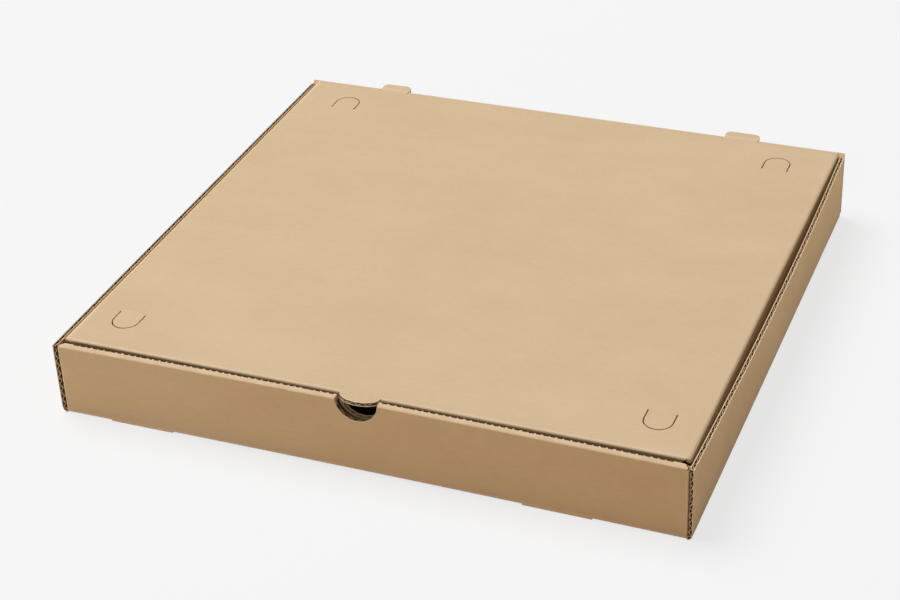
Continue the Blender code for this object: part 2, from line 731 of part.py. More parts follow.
def vent_flap(name, middle, fold, way):
    outline = vent_outline(middle, fold, way, VENT_WIDTH, HINGE_GAP, VENT_LENGTH)
    flap = along_z(outline, LID_UNDER, LID_TOP)
    return finished(flap, name, (middle, fold, LID_UNDER), VENT_FINISH)


def lid():
    sheet = joined([lid_panel(), lid_side(-1), lid_side(1)])
    cut(sheet, [hinge_cutter()])
    cutters = [relief_cutter(-1), relief_cutter(1)]
    cutters += [vent_cutter(middle, fold, way) for _, middle, fold, way in vents()]
    cut(sheet, [group(cutters)])
    sheet = joined([sheet, finger_tab()] + [rear_tab(middle, width) for middle, width in rear_tabs()])
    cut(sheet, [finger_tab_flutes()])
    return finished(sheet, "lid", (0.0, BACK_Y, LID_TOP), LID_FINISH)


def build():
    clear_scene()
    tray()
    lid()
    for name, middle, fold, way in vents():
        vent_flap(name, middle, fold, way)


build()
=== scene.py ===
"""Looks of a closed kraft pizza box, folded from one die-cut sheet of corrugated board."""

import logging
import math
from dataclasses import dataclass, field
from enum import Enum
from typing import Any, Callable, Optional, Union

import bmesh
import bpy
import numpy as np
from mathutils import Matrix, Vector


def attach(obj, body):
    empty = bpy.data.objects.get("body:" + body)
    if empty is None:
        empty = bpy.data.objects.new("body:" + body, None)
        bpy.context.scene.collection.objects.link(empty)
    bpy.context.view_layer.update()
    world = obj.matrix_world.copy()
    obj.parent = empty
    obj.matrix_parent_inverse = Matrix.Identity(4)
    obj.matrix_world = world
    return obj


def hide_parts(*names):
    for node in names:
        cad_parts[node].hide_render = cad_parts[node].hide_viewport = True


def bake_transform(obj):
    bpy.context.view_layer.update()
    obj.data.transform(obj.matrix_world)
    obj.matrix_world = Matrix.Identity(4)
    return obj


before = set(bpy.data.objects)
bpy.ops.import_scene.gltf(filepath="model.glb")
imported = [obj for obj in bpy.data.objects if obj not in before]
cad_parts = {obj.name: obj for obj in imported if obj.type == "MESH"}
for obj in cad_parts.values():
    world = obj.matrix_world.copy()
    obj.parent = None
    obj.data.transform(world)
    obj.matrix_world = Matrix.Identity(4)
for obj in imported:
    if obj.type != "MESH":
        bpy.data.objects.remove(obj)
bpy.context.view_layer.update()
LOG = logging.getLogger("pizza_box")

Colour = tuple[float, float, float]


class Coordinates(Enum):
    """What a pattern follows: the object's own axes, or the flat sheet before it was folded."""

    OBJECT = "object"
    SHEET = "sheet"


def operation(kind: str, reflected: bool = False) -> Callable[[Any, Any], "Signal"]:
    """Makes one arithmetic method of a Signal.

    Args:
        kind: the Math node's operation.
        reflected: True if the other operand comes first.

    Returns:
        The method.
    """

    def apply(self: "Signal", other: Any) -> "Signal":
        """Adds the Math node, its operands in the order that was written."""
        return self.math(kind, other, self) if reflected else self.math(kind, self, other)

    return apply


class Signal:
    """One shader socket. Arithmetic on it adds Math nodes to its graph."""

    __add__, __radd__ = operation("ADD"), operation("ADD", True)
    __sub__, __rsub__ = operation("SUBTRACT"), operation("SUBTRACT", True)
    __mul__, __rmul__ = operation("MULTIPLY"), operation("MULTIPLY", True)
    smallest = operation("MINIMUM")

    def __init__(self, graph: "Graph", socket: bpy.types.NodeSocket) -> None:
        """Keeps the socket and the graph that it belongs to."""
        self.graph = graph
        self.socket = socket

    def math(self, kind: str, left: Any, right: Any) -> "Signal":
        """Adds one Math node of that kind for two numbers or Signals."""
        return self.graph.add("ShaderNodeMath", {"operation": kind}, {0: left, 1: right})

    def step(self, low: float, high: float) -> "Signal":
        """A smooth rise from 0 at low to 1 at high."""
        return self.graph.add(
            "ShaderNodeMapRange",
            {"interpolation_type": "SMOOTHSTEP"},
            {"Value": self, "From Min": low, "From Max": high},
        )


class Graph:
    """The node tree of one material."""

    def __init__(self, name: str) -> None:
        """Makes an empty material of that name."""
        self.material = bpy.data.materials.new(name)
        self.material.use_nodes = True
        self.tree = self.material.node_tree
        self.tree.nodes.clear()

    def add(
        self,
        kind: str,
        settings: Optional[dict[str, Any]] = None,
        inputs: Optional[dict[Union[int, str], Any]] = None,
        output: Union[int, str] = 0,
    ) -> Signal:
        """Makes one node.

        Args:
            kind: the node's type.
            settings: its properties, set first.
            inputs: values or Signals for its sockets, by name or place.
            output: the socket to hand back.

        Returns:
            The chosen output as a Signal.
        """
        node = self.tree.nodes.new(kind)
        for key, value in (settings or {}).items():
            setattr(node, key, value)
        for key, value in (inputs or {}).items():
            if isinstance(value, Signal):
                self.tree.links.new(value.socket, node.inputs[key])
            else:
                node.inputs[key].default_value = value
        return Signal(self, node.outputs[output])

    def mix(self, share: Any, first: Any, second: Any, blend: str = "MIX") -> Signal:
        """Mixes two colours.

        Args:
            share: how much of the second shows, a number or a Signal.
            first: colour or Signal.
            second: colour or Signal.
            blend: the Mix node's blend type.

        Returns:
            The mixed colour.
        """
        node = self.tree.nodes.new("ShaderNodeMix")
        node.data_type = "RGBA"
        node.blend_type = blend
        for key, value in ((0, share), (6, first), (7, second)):
            if isinstance(value, Signal):
                self.tree.links.new(value.socket, node.inputs[key])
            elif isinstance(value, tuple):
                node.inputs[key].default_value = (*value, 1.0)
            else:
                node.inputs[key].default_value = value
        return Signal(self, node.outputs[2])

    def place(self, coordinates: Coordinates) -> Signal:
        """The point that patterns are read at, in metres."""
        if coordinates is Coordinates.SHEET:
            return self.add("ShaderNodeAttribute", {"attribute_name": "sheet"}, output="Vector")
        return self.add("ShaderNodeTexCoord", output="Object")

    def noise(
        self, point: Signal, scale: Colour, detail: float = 2.0, rough: float = 0.5
    ) -> Signal:
        """Fractal noise round one half.

        Args:
            point: where it is read, in metres.
            scale: cells per metre along each axis.
            detail: octaves.
            rough: how much the fine octaves weigh.

        Returns:
            The noise, 0 to 1.
        """
        stretched = self.add(
            "ShaderNodeVectorMath", {"operation": "MULTIPLY"}, {0: point, 1: scale}
        )
        return self.add(
            "ShaderNodeTexNoise",
            {"noise_dimensions": "3D"},
            {"Vector": stretched, "Scale": 1.0, "Detail": detail, "Roughness": rough},
        )

    def end(self, shader: Signal) -> bpy.types.Material:
        """Ends the material in that shader."""
        last = self.tree.nodes.new("ShaderNodeOutputMaterial")
        self.tree.links.new(shader.socket, last.inputs["Surface"])
        return self.material

    def surface(self, inputs: dict[str, Any]) -> bpy.types.Material:
        """Ends the material in one Principled shader with those inputs."""
        return self.end(self.add("ShaderNodeBsdfPrincipled", None, inputs))


@dataclass(frozen=True)
class Kraft:
    """Kraft finish: fibres, flecks, cloudy tone, paler rubbed folds with painted highlight, painted
    shade.
    """

    name: str
    colour: Colour
    deep: float = 0.86
    warm: Colour = (1.0, 0.94, 0.86)
    streak_scale: Colour = (170.0, 460.0, 460.0)
    cloud_scale: Colour = (9.0, 16.0, 16.0)
    cloud: float = 0.10
    streak: float = 0.045
    fleck: float = 0.30
    # Paler colour of rubbed folds and cut edges, and of painted highlight.
    wear_and_highlight_tone: Colour = (0.76, 0.60, 0.41)
    # Painted shade colour, mixed in where openings, grooves and creases lie in shadow.
    inside: Colour = (0.035, 0.020, 0.012)
    roughness: float = 0.84
    bump: float = 0.12
    # How quickly the painted shade reaches its full darkness.
    painted_shade_gain: float = 3.0

    def material(self) -> bpy.types.Material:
        """Builds the material.

        Returns:
            The material, its colour, roughness and relief all from nodes.
        """
        graph = Graph(self.name)
        at = graph.place(Coordinates.SHEET)
        clouds = graph.noise(at, self.cloud_scale, 5.0, 0.72)
        streaks = graph.noise(at, self.streak_scale, 2.0, 0.6)
        threads = graph.noise(at, (160.0, 1500.0, 1500.0), 1.0, 0.5)
        grain = graph.noise(at, (2100.0, 2600.0, 2600.0), 2.0, 0.6)
        flecks = graph.noise(at, (260.0, 700.0, 700.0), 1.0, 0.4)
        base = graph.mix(
            (clouds.step(0.25, 0.75) * self.cloud + streaks.step(0.3, 0.7) * self.streak) * 4.0,
            self.colour,
            tuple(c * self.deep * w for c, w in zip(self.colour, self.warm)),
        )
        dark = graph.mix(
            flecks.step(0.74, 0.80) * self.fleck,
            base,
            tuple(c * 0.62 for c in self.colour),
        )
        light = graph.mix(
            threads.step(0.70, 0.78) * self.fleck * 0.7,
            dark,
            tuple(min(c * 1.16, 1.0) for c in self.colour),
        )
        # Rubbed folds and painted highlight: a paler, patchy colour.
        wear_and_highlight = graph.add("ShaderNodeAttribute", {"attribute_name": "wear_and_highlight"}, output="Fac")
        patchy = wear_and_highlight * (0.55 + 0.9 * grain)
        wear_and_highlight_tone = graph.mix(patchy.smallest(1.0), light, self.wear_and_highlight_tone)
        # Painted shade: the dark colour in flute openings, grooves and creases.
        painted_shade = graph.add("ShaderNodeAttribute", {"attribute_name": "painted_shade"}, output="Fac")
        wear_and_highlight_tone = graph.mix((painted_shade * self.painted_shade_gain).smallest(1.0), wear_and_highlight_tone, self.inside)
        dents = graph.noise(at, (95.0, 120.0, 120.0), 1.0, 0.4).step(0.70, 0.80)
        relief = grain * 0.35 + streaks * 0.3 + clouds * 0.6 - dents * 0.8
        normal = graph.add(
            "ShaderNodeBump",
            None,
            {"Strength": self.bump, "Distance": 0.0006, "Height": relief},
        )
        rough = (self.roughness - 0.06) + grain * 0.12
        return graph.surface(
            {"Base Color": wear_and_highlight_tone, "Roughness": rough, "Normal": normal, "Specular IOR Level": 0.10}
        )


@dataclass(frozen=True)
class Fluting:
    """The wavy middle sheet's finish: browner and rougher than the faces, painted shade deeper in."""

    name: str
    colour: Colour = (0.66, 0.48, 0.29)
    # Painted shade colour deep in the flutes.
    deep: Colour = (0.050, 0.030, 0.017)
    roughness: float = 0.92
    painted_shade_gain: float = 2.2

    def material(self) -> bpy.types.Material:
        """Builds the material.

        Returns:
            The material, darkening with the depth that each point carries.
        """
        graph = Graph(self.name)
        at = graph.place(Coordinates.SHEET)
        patches = graph.noise(at, (420.0, 420.0, 420.0), 2.0, 0.6)
        fibres = graph.noise(at, (900.0, 2600.0, 2600.0), 2.0, 0.6)
        # Painted shade: darker deeper in the flutes.
        painted_shade = graph.add("ShaderNodeAttribute", {"attribute_name": "painted_shade"}, output="Fac")
        tone = graph.mix(
            patches.step(0.3, 0.7) * 0.5, self.colour, tuple(c * 0.72 for c in self.colour)
        )
        tone = graph.mix((painted_shade * self.painted_shade_gain).smallest(1.0), tone, self.deep)
        normal = graph.add(
            "ShaderNodeBump", None, {"Strength": 0.3, "Distance": 0.0003, "Height": fibres}
        )
        return graph.surface(
            {
                "Base Color": tone,
                "Roughness": (self.roughness - 0.08) + fibres * 0.1,
                "Normal": normal,
                "Specular IOR Level": 0.06,
            }
        )


@dataclass(frozen=True)
class Studio:
    """Camera, lamps, floor and world."""

    eye: Colour = (0.4882006, -1.2145697, 0.8183640)
    right: Colour = (0.9302146, 0.3649225, -0.0391447)
    up: Colour = (-0.1619234, 0.5037746, 0.8485234)
    back: Colour = (0.3293654, -0.7829704, 0.5277080)
    lens: float = 82.31
    key: float = 2588.6
    ambient: float = 0.20
    floor_glow: float = 0.78
    floor_seen: float = 0.82
    floor_bounce: Colour = (0.78, 0.66, 0.56)
    floor_size: float = 40.0
    glow: float = 0.94
    world_seen: float = 0.92
    cone: float = 58.0

    def camera(self) -> None:
        """Places the camera where the photograph was taken from."""
        data = bpy.data.cameras.new("camera")
        data.sensor_fit = "HORIZONTAL"
        data.sensor_width = 36.0
        data.lens = self.lens
        data.clip_start, data.clip_end = 0.01, 100.0
        camera = bpy.data.objects.new("camera", data)
        turn = Matrix((self.right, self.up, self.back)).transposed()
        camera.matrix_world = Matrix.Translation(self.eye) @ turn.to_4x4()
        bpy.context.scene.collection.objects.link(camera)
        bpy.context.scene.camera = camera

    def lamp(
        self,
        name: str,
        power: float,
        place: Colour,
        radius: float,
        tint: Colour,
        aim: Optional[Colour] = None,
    ) -> None:
        """Adds one round lamp, whose light falls off with distance.

        Args:
            name: the lamp's name.
            power: its power in watts.
            place: its middle, in metres.
            radius: its size, in metres.
            tint: the colour of its light.
            aim: the middle of its cone, or None for a lamp that shines all round.
        """
        data = bpy.data.lights.new(name, "SPOT" if aim else "POINT")
        data.energy = power
        data.shadow_soft_size = radius
        data.color = tint
        lamp = bpy.data.objects.new(name, data)
        lamp.location = place
        lamp.visible_camera = False
        if aim:
            data.spot_size = math.radians(self.cone)
            data.spot_blend = 0.12
            lamp.rotation_mode = "QUATERNION"
            lamp.rotation_quaternion = (Vector(place) - Vector(aim)).to_track_quat("Z", "Y")
        bpy.context.scene.collection.objects.link(lamp)

    def lamps(self) -> None:
        """A wide key, a front fill, two low fills aimed just over the floor, and an even world."""
        left, right = ((0.0, -0.20, 0.33), (0.23, 0.0, 0.42))
        self.lamp("key", self.key, (-3.628, 0.972, 7.063), 3.2, (1.0, 0.985, 0.965))
        self.lamp("left_fill", 4.6, (-0.62, -0.62, 0.04), 0.03, (0.62, 0.82, 1.0), left)
        self.lamp("right_fill", 12.0, (1.15, 0.35, 0.04), 0.03, (0.76, 0.92, 1.0), right)
        self.lamp("front_fill", 205.0, (0.44, -5.07, 3.18), 0.5, (1.0, 0.90, 0.76))
        world = bpy.data.worlds.new("studio")
        world.use_nodes = True
        tree = world.node_tree
        tree.nodes.clear()
        path = tree.nodes.new("ShaderNodeLightPath")
        level = tree.nodes.new("ShaderNodeMapRange")
        level.inputs["To Min"].default_value = self.ambient
        level.inputs["To Max"].default_value = self.world_seen
        tree.links.new(path.outputs["Is Camera Ray"], level.inputs["Value"])
        shade = tree.nodes.new("ShaderNodeBackground")
        shade.inputs["Color"].default_value = (1.0, 1.0, 1.0, 1.0)
        tree.links.new(level.outputs[0], shade.inputs["Strength"])
        end = tree.nodes.new("ShaderNodeOutputWorld")
        tree.links.new(shade.outputs[0], end.inputs["Surface"])
        bpy.context.scene.world = world

    def floor(self) -> None:
        """A plain pale floor under the box."""
        half = self.floor_size / 2
        mesh = bpy.data.meshes.new("floor")
        mesh.from_pydata(
            [(-half, -half, 0), (half, -half, 0), (half, half, 0), (-half, half, 0)],
            [],
            [(0, 1, 2, 3)],
        )
        floor = bpy.data.objects.new("floor", mesh)
        bpy.context.scene.collection.objects.link(floor)
        graph = Graph("floor")
        path = graph.add("ShaderNodeLightPath", output="Is Camera Ray")
        cloudy = graph.noise(graph.place(Coordinates.OBJECT), (3.0, 3.0, 3.0))
        tones = []
        for colour in (self.floor_bounce, (self.floor_seen,) * 3):
            tone = graph.mix(cloudy, tuple(c * 0.998 for c in colour), colour)
            tones.append(graph.add("ShaderNodeBsdfDiffuse", None, {"Color": tone}))
        cool = (0.99, 0.993, 1.0, 1.0)
        glow = graph.add("ShaderNodeEmission", None, {"Color": cool, "Strength": self.glow})
        seen = graph.add("ShaderNodeMixShader", None, {0: self.floor_glow, 1: tones[1], 2: glow})
        both = graph.add("ShaderNodeMixShader", None, {0: path, 1: tones[0], 2: seen})
        mesh.materials.append(graph.end(both))

    def build(self) -> None:
        """Sets the whole stage and the plain colour handling."""
        self.camera()
        self.lamps()
        self.floor()
        bpy.context.scene.view_settings.view_transform = "Standard"


Array = np.ndarray
MM = 0.001


@dataclass(frozen=True)
class Board:
    """The corrugated board, in millimetres."""

    thick: float = 3.2
    liner: float = 0.45
    medium: float = 0.36
    pitch: float = 6.3
    flute_depth: float = 6.0
    seam_depth: float = 2.0
    seam_liner: float = 0.75
    lip: float = 0.4
    edge: float = 0.9
    skin: float = 0.4
    skin_liner: float = 0.1
    recess: float = 0.42


@dataclass(frozen=True)
class Sizes:
    """Main places of the folded box, in millimetres. The front faces -Y, the floor is z = 0."""

    side_x: float = 228.0
    front_y: float = -221.15
    back_y: float = 211.85
    top: float = 57.0
    front_height: float = 55.8
    side_height: float = 55.0
    side_rear_y: float = 208.35
    lid_front: float = -213.1
    lid_fold: float = 1.5
    lid_side_fold: float = 2.3
    soft: float = 4.0
    sharp: float = 2.2
    crisp: float = 1.3
    panel_x: float = 221.0
    lock_tabs: tuple[tuple[float, float], ...] = ((-188.75, -141.25), (114.25, 161.75))
    rear_tabs: tuple[tuple[float, float], ...] = ((-153.0, 24.4), (144.8, 27.4))
    rear_tab_length: float = 9.3
    rear_tab_corner: float = 4.6
    tab_clearance: float = 0.8
    notch_radius: float = 15.2
    finger_reach: float = 14.3
    finger_length: float = 7.65


BOARD = Board()
BOX = Sizes()


def stops(low: float, high: float, step: float, *extra: Any) -> Array:
    """Even places from low to high, with extra ones between them added.

    Args:
        low: first place.
        high: last place.
        step: largest spacing.
        extra: further places, numbers or arrays.

    Returns:
        Sorted places without repeats.
    """
    even = np.linspace(low, high, max(2, int(math.ceil((high - low) / step)) + 1))
    more = [np.atleast_1d(np.asarray(e, float)) for e in extra]
    every = np.concatenate([even, *more])
    every = every[(every >= low - 1e-9) & (every <= high + 1e-9)]
    return np.unique(np.round(every, 4))


def ramp(values: Array, low: float, high: float) -> Array:
    """A smooth rise from 0 at low to 1 at high: three squares less two cubes of the clipped share."""
    share = np.clip((values - low) / (high - low), 0.0, 1.0)
    return share * share * (3 - 2 * share)


def stepped(places: Any) -> Array:
    """A place on either side of each step in a shape, 0.01 mm from it."""
    return np.concatenate([np.ravel(places) - 0.01, np.ravel(places) + 0.01])


def within(values: Array, spans: Any) -> Array:
    """True where a value lies in one of the spans."""
    inside = np.zeros(np.shape(values), bool)
    for low, high in spans:
        inside |= (values >= low) & (values <= high)
    return inside


def cut_corner(v: Array, low: float, high: float) -> Array:
    """How far an edge steps back at the quarter-round corners of a rear tab or of its hole.

    It is the radius less the root of the squared radius less the squared distance past the centre.
    """
    corner = BOX.rear_tab_corner
    off = np.clip(np.minimum(v - low, high - v), 0, corner)
    return corner - np.sqrt(corner**2 - (corner - off) ** 2)


def corner_columns(low: float, high: float, count: int) -> list[float]:
    """Columns that follow both corners of a rear tab or of its hole."""
    off = BOX.rear_tab_corner * (1 - np.cos(np.linspace(0, math.pi / 2, count)))
    return [low - 0.02, high + 0.02, *(low + off), *(high - off)]


def waver(values: Array, seed: int, pitch: float) -> Array:
    """An irregular wave from -1 to 1: three sines of unrelated lengths, phases from a seed."""
    phase = np.random.default_rng(seed).uniform(0, 2 * math.pi, 3)
    total = np.sin(2 * math.pi * values / pitch + phase[0])
    total += 0.7 * np.sin(2 * math.pi * values / (pitch * 1.618) + phase[1])
    total += 0.5 * np.sin(2 * math.pi * values / (pitch * 0.573) + phase[2])
    return total / 2.2


class FoldPath:
    """A line in a plane that runs straight and turns left on arcs, as the outer face of folded board.

    The inner face lies one board thickness to the left. Round an arc tighter than the board it has a
    sharp corner: the meeting point of the two straight inner faces.
    """

    def __init__(
        self, start: tuple[float, float], heading: float, steps: list[tuple[float, ...]]
    ) -> None:
        """Works out matching points on both faces.

        Args:
            start: first point of the outer face.
            heading: first direction, in degrees.
            steps: (length,) for a straight run, (radius, degrees) for a turn.
        """
        thick = BOARD.thick
        at = np.array(start, float)
        angle = math.radians(heading)
        outer, inner, along, marks = [], [], [], [0.0]
        for number, step in enumerate(steps):
            left = np.array([-math.sin(angle), math.cos(angle)])
            ahead = np.array([math.cos(angle), math.sin(angle)])
            if len(step) == 1:
                trims = []
                for other in (number - 1, number + 1):
                    turn = steps[other] if 0 <= other < len(steps) else (thick, 0.0)
                    tight = max(0.0, thick - turn[0])
                    trims.append(tight * math.tan(math.radians(turn[1]) / 2))
                run = stops(0.0, step[0], 12.0, trims[0], step[0] - trims[1], 1.5, step[0] - 1.5)
                outer.append(at + run[:, None] * ahead)
                kept = np.clip(run, trims[0], step[0] - trims[1])
                inner.append(at + kept[:, None] * ahead + thick * left)
                along.append(marks[-1] + run)
                at = at + step[0] * ahead
                marks.append(marks[-1] + step[0])
                continue
            radius, turned = step[0], math.radians(step[1])
            share = np.linspace(0.0, 1.0, max(4, int(step[1] / 11.0)) + 1)
            centre = at + radius * left
            facing = angle - math.pi / 2 + share * turned
            spoke = np.stack([np.cos(facing), np.sin(facing)], 1)
            outer.append(centre + radius * spoke)
            if radius >= thick:
                inner.append(centre + (radius - thick) * spoke)
            else:
                middle = angle + math.pi / 2 + turned / 2
                corner = centre + (thick - radius) / math.cos(turned / 2) * np.array(
                    [math.cos(middle), math.sin(middle)]
                )
                inner.append(np.repeat(corner[None], len(share), 0))
            along.append(marks[-1] + share * radius * turned)
            at = outer[-1][-1]
            angle += turned
            marks.append(marks[-1] + radius * turned)
        self.marks = marks
        length = np.concatenate(along)
        _, first = np.unique(np.round(length, 6), return_index=True)
        self.along = length[first]
        self.outer = np.concatenate(outer)[first]
        self.inner = np.concatenate(inner)[first]
        turns = [i for i, step in enumerate(steps) if len(step) == 2]
        self.folds = [(marks[i], marks[i + 1]) for i in turns]

    def at(self, length: Array, depth: Array) -> tuple[Array, Array]:
        """The point at a length along the outer face and a depth below it, the faces blended."""
        share = depth / BOARD.thick
        found = []
        for axis in (0, 1):
            near = np.interp(length, self.along, self.outer[:, axis])
            far = np.interp(length, self.along, self.inner[:, axis])
            found.append(near * (1 - share) + far * share)
        return found[0], found[1]

    def wear_and_highlight(self, length: Array, reach: float = 1.0) -> Array:
        """How pale the board is from rubbing and painted highlight: 1 on a fold, falling to 0 within a
        reach of it.
        """
        most = np.zeros(np.shape(length))
        for low, high in self.folds:
            off = np.maximum(np.maximum(low - length, length - high), 0.0)
            most = np.maximum(most, np.clip(1 - off / reach, 0, 1))
        return most


@dataclass
class Patch:
    """Points, faces and per-point values of one closed shell."""

    points: Array
    quads: Array
    triangles: Array
    sheet: Array
    wear_and_highlight: Array
    painted_shade: Array

    @staticmethod
    def welded(points: Array, quads: Array, sheet: Array, wear_and_highlight: Array, painted_shade: Array) -> "Patch":
        """Merges points that coincide and drops the faces that collapse.

        Args:
            points: one row per point, in millimetres.
            quads: one row of four point numbers per face.
            sheet: place on the flat sheet.
            wear_and_highlight: pale folds, from rubbing and painted highlight.
            painted_shade: painted shade, 0 to 1, deepest inside the flutes and in grooves.

        Returns:
            The welded patch.
        """
        _, first, index = np.unique(
            np.round(points, 4), axis=0, return_index=True, return_inverse=True
        )
        faces = index.reshape(-1)[quads]
        same = faces == np.roll(faces, -1, axis=1)
        crossed = (faces[:, 0] == faces[:, 2]) | (faces[:, 1] == faces[:, 3])
        count = same.sum(1)
        whole = faces[(count == 0) & ~crossed]
        threes = []
        for corner in range(4):
            rows = faces[(count == 1) & same[:, corner]]
            rows = rows[:, [i for i in range(4) if i != corner]]
            threes.append(rows[(rows != np.roll(rows, -1, axis=1)).all(1)])
        return Patch(
            points[first], whole, np.concatenate(threes), sheet[first], wear_and_highlight[first], painted_shade[first]
        )


Limit = Callable[[Array], Array]
Place = Callable[[Array, Array, Array], tuple[Array, Array, Array]]


@dataclass
class Leaf:
    """One die-cut piece of board: u along its flutes, v across them, h down from its outer face.

    For each column v the board reaches from low(v) to high(v). Where a cut end is open, the space
    between the two liners is sunk in, and a wavy middle sheet stands in it.
    """

    place: Place
    knots: Array
    columns: Array
    low: Limit
    high: Limit
    open_low: Optional[Limit] = None
    open_high: Optional[Limit] = None
    open_first: bool = False
    open_last: bool = False
    # Pale folds: rubbing and painted highlight.
    wear_and_highlight: Optional[Callable[[Array, Array], Array]] = None
    # Painted shade on the outer half of the board.
    shade: Optional[Callable[[Array, Array], Array]] = None
    # Pale cut edges of the liners round openings: paler cut paper and painted highlight.
    rim: float = 0.7
    # Painted shade on the cut edges below the outer liner.
    cut_core_shade: float = 0.0
    seed: int = 1
    thick: float = BOARD.thick
    liner: float = BOARD.liner
    flute_depth: float = BOARD.flute_depth

    def margins(self) -> tuple[float, float]:
        """Where open flute ends may start and stop across the board, clear of open seams."""
        first = BOARD.seam_depth if self.open_first else 0.0
        last = BOARD.seam_depth if self.open_last else 0.0
        return self.columns[0] + first + BOARD.lip, self.columns[-1] - last - BOARD.lip

    def opening(self, which: Optional[Limit], v: Array) -> Array:
        """Depth of the open flutes at each column."""
        if which is None:
            return np.zeros(len(v))
        low, high = self.margins()
        inside = (v > low + 0.01) & (v < high - 0.01)
        length = self.high(v) - self.low(v)
        return np.where(inside & which(v) & (length > 3 * self.flute_depth), self.flute_depth, 0.0)

    def shell(self) -> Patch:
        """Builds the closed shell.

        Each column gives a ring: the outer line from low to high, the sunk end, the inner line
        back and the other sunk end. Rings are joined in order, and each side end is sunk or flat.

        Returns:
            The welded patch.
        """
        thick, liner = self.thick, self.liner
        low, high = self.margins()
        first, last = self.columns[0], self.columns[-1]
        marked = [low, low + 0.05, high - 0.05, high, first + BOARD.edge, last - BOARD.edge]
        v = np.unique(np.round(np.concatenate([self.columns, marked]), 4))
        bottom, top = self.low(v)[:, None], self.high(v)[:, None]
        line = np.clip(self.knots[None, :], bottom, top)
        near = np.clip(np.hstack([bottom + BOARD.edge, top - BOARD.edge]), bottom, top)
        line = np.sort(np.hstack([line, near]), axis=1)
        sunk_low = self.opening(self.open_low, v)[:, None]
        sunk_high = self.opening(self.open_high, v)[:, None]
        zero = np.zeros_like(bottom)
        u = np.hstack(
            [
                line,
                top - np.hstack([zero, sunk_high, sunk_high, zero]),
                line[:, ::-1],
                bottom + np.hstack([zero, sunk_low, sunk_low, zero]),
            ]
        )
        depths = [0 * line[0], [liner, liner, thick - liner, thick - liner]]
        depths += [0 * line[0] + thick, [thick - liner, thick - liner, liner, liner]]
        h = np.repeat(np.concatenate(depths)[None], len(v), 0)
        # Painted shade: the floor of each opening is marked dark.
        deep = np.zeros_like(u)
        count = line.shape[1]
        for start, sunk in ((count, sunk_high), (2 * count + 4, sunk_low)):
            deep[:, start + 1 : start + 3] = sunk > 0
        across = np.repeat(v[:, None], u.shape[1], 1)
        rows = [u, across, h, deep]
        for end, way, is_open in ((0, 1.0, self.open_first), (-1, -1.0, self.open_last)):
            if not is_open:
                continue
            base = u[end][None]
            inset = np.clip(base, base.min() + BOARD.lip, base.max() - BOARD.lip)
            shallow = BOARD.seam_liner + h[:1] / thick * (thick - 2 * BOARD.seam_liner)
            mouth = [inset, 0 * inset + v[end], shallow, 0 * inset]
            # The seam's floor carries full painted shade, its mouth none.
            floor = [inset, 0 * inset + v[end] + way * BOARD.seam_depth, shallow, 0 * inset + 1.0]
            ordered = (floor, mouth) if end == 0 else (mouth, floor)
            for i in range(4):
                pair = [ordered[0][i], ordered[1][i]]
                rows[i] = np.vstack(pair + [rows[i]] if end == 0 else [rows[i]] + pair)
        grid_u, grid_v, grid_h, grid_deep = rows
        height, width = grid_u.shape
        ids = np.arange(height * width).reshape(height, width)
        nxt = np.roll(ids, -1, axis=1)
        quads = [np.stack([ids[:-1], nxt[:-1], nxt[1:], ids[1:]], -1).reshape(-1, 4)]
        flat = [g.ravel() for g in (grid_u, grid_v, grid_h, grid_deep)]
        offset = height * width
        for row in (0, height - 1):
            edge = grid_u[row, :count]
            levels = grid_h[row, [0, count, count + 3, count + 4]]
            cap = np.arange(4 * count).reshape(4, count) + offset
            corners = [cap[:-1, :-1], cap[:-1, 1:], cap[1:, 1:], cap[1:, :-1]]
            quads.append(np.stack(corners, -1).reshape(-1, 4))
            new = (
                np.tile(edge, 4),
                np.full(4 * count, grid_v[row, 0]),
                np.repeat(levels, count),
                np.full(4 * count, grid_deep[row, 0]),
            )
            flat = [np.concatenate([a, b]) for a, b in zip(flat, new)]
            offset += 4 * count
        return self.patch(*flat, np.concatenate(quads))

    def rimmed(self, u: Array, v: Array) -> Array:
        """1 on the cut edges of the liners round an opening, falling to 0 within 0.9 mm."""
        near = np.full(np.shape(u), 9.0)
        if self.open_low:
            near = np.minimum(near, np.abs(u - self.low(v)))
        if self.open_high:
            near = np.minimum(near, np.abs(self.high(v) - u))
        if self.open_first:
            near = np.minimum(near, v - self.columns[0])
        if self.open_last:
            near = np.minimum(near, self.columns[-1] - v)
        return np.clip(1 - near / BOARD.edge, 0, 1)

    def patch(self, u: Array, v: Array, h: Array, deep: Array, quads: Array) -> Patch:
        """Places the points and welds them.

        Args:
            u: along the flutes.
            v: across the flutes.
            h: below the outer face.
            deep: painted shade, 1 at the floor of an opening.
            quads: faces.

        Returns:
            The welded patch.
        """
        points = np.stack(self.place(u, v, h), -1)
        # Pale folds and cut edges: rubbing and painted highlight.
        wear_and_highlight = self.wear_and_highlight(u, v) if self.wear_and_highlight else np.zeros_like(u)
        edge, inner = self.rimmed(u, v), (h > 1.2 * self.liner) & (self.cut_core_shade > 0)
        rim = np.minimum(self.rim * edge, 1.0) * ~inner
        wear_and_highlight = np.maximum(wear_and_highlight * (h < self.thick / 2), rim)
        # Painted shade on the cut edges below the outer liner, and the leaf's own painted shade.
        deep = np.maximum(deep, self.cut_core_shade * edge * (inner | (self.rim == 0)))
        if self.shade:
            deep = np.maximum(deep, self.shade(u, v) * (h < self.thick / 2))
        sheet = np.stack([v + 500 * self.seed, u, h], -1) * MM
        return Patch.welded(points, quads, sheet, wear_and_highlight, deep)

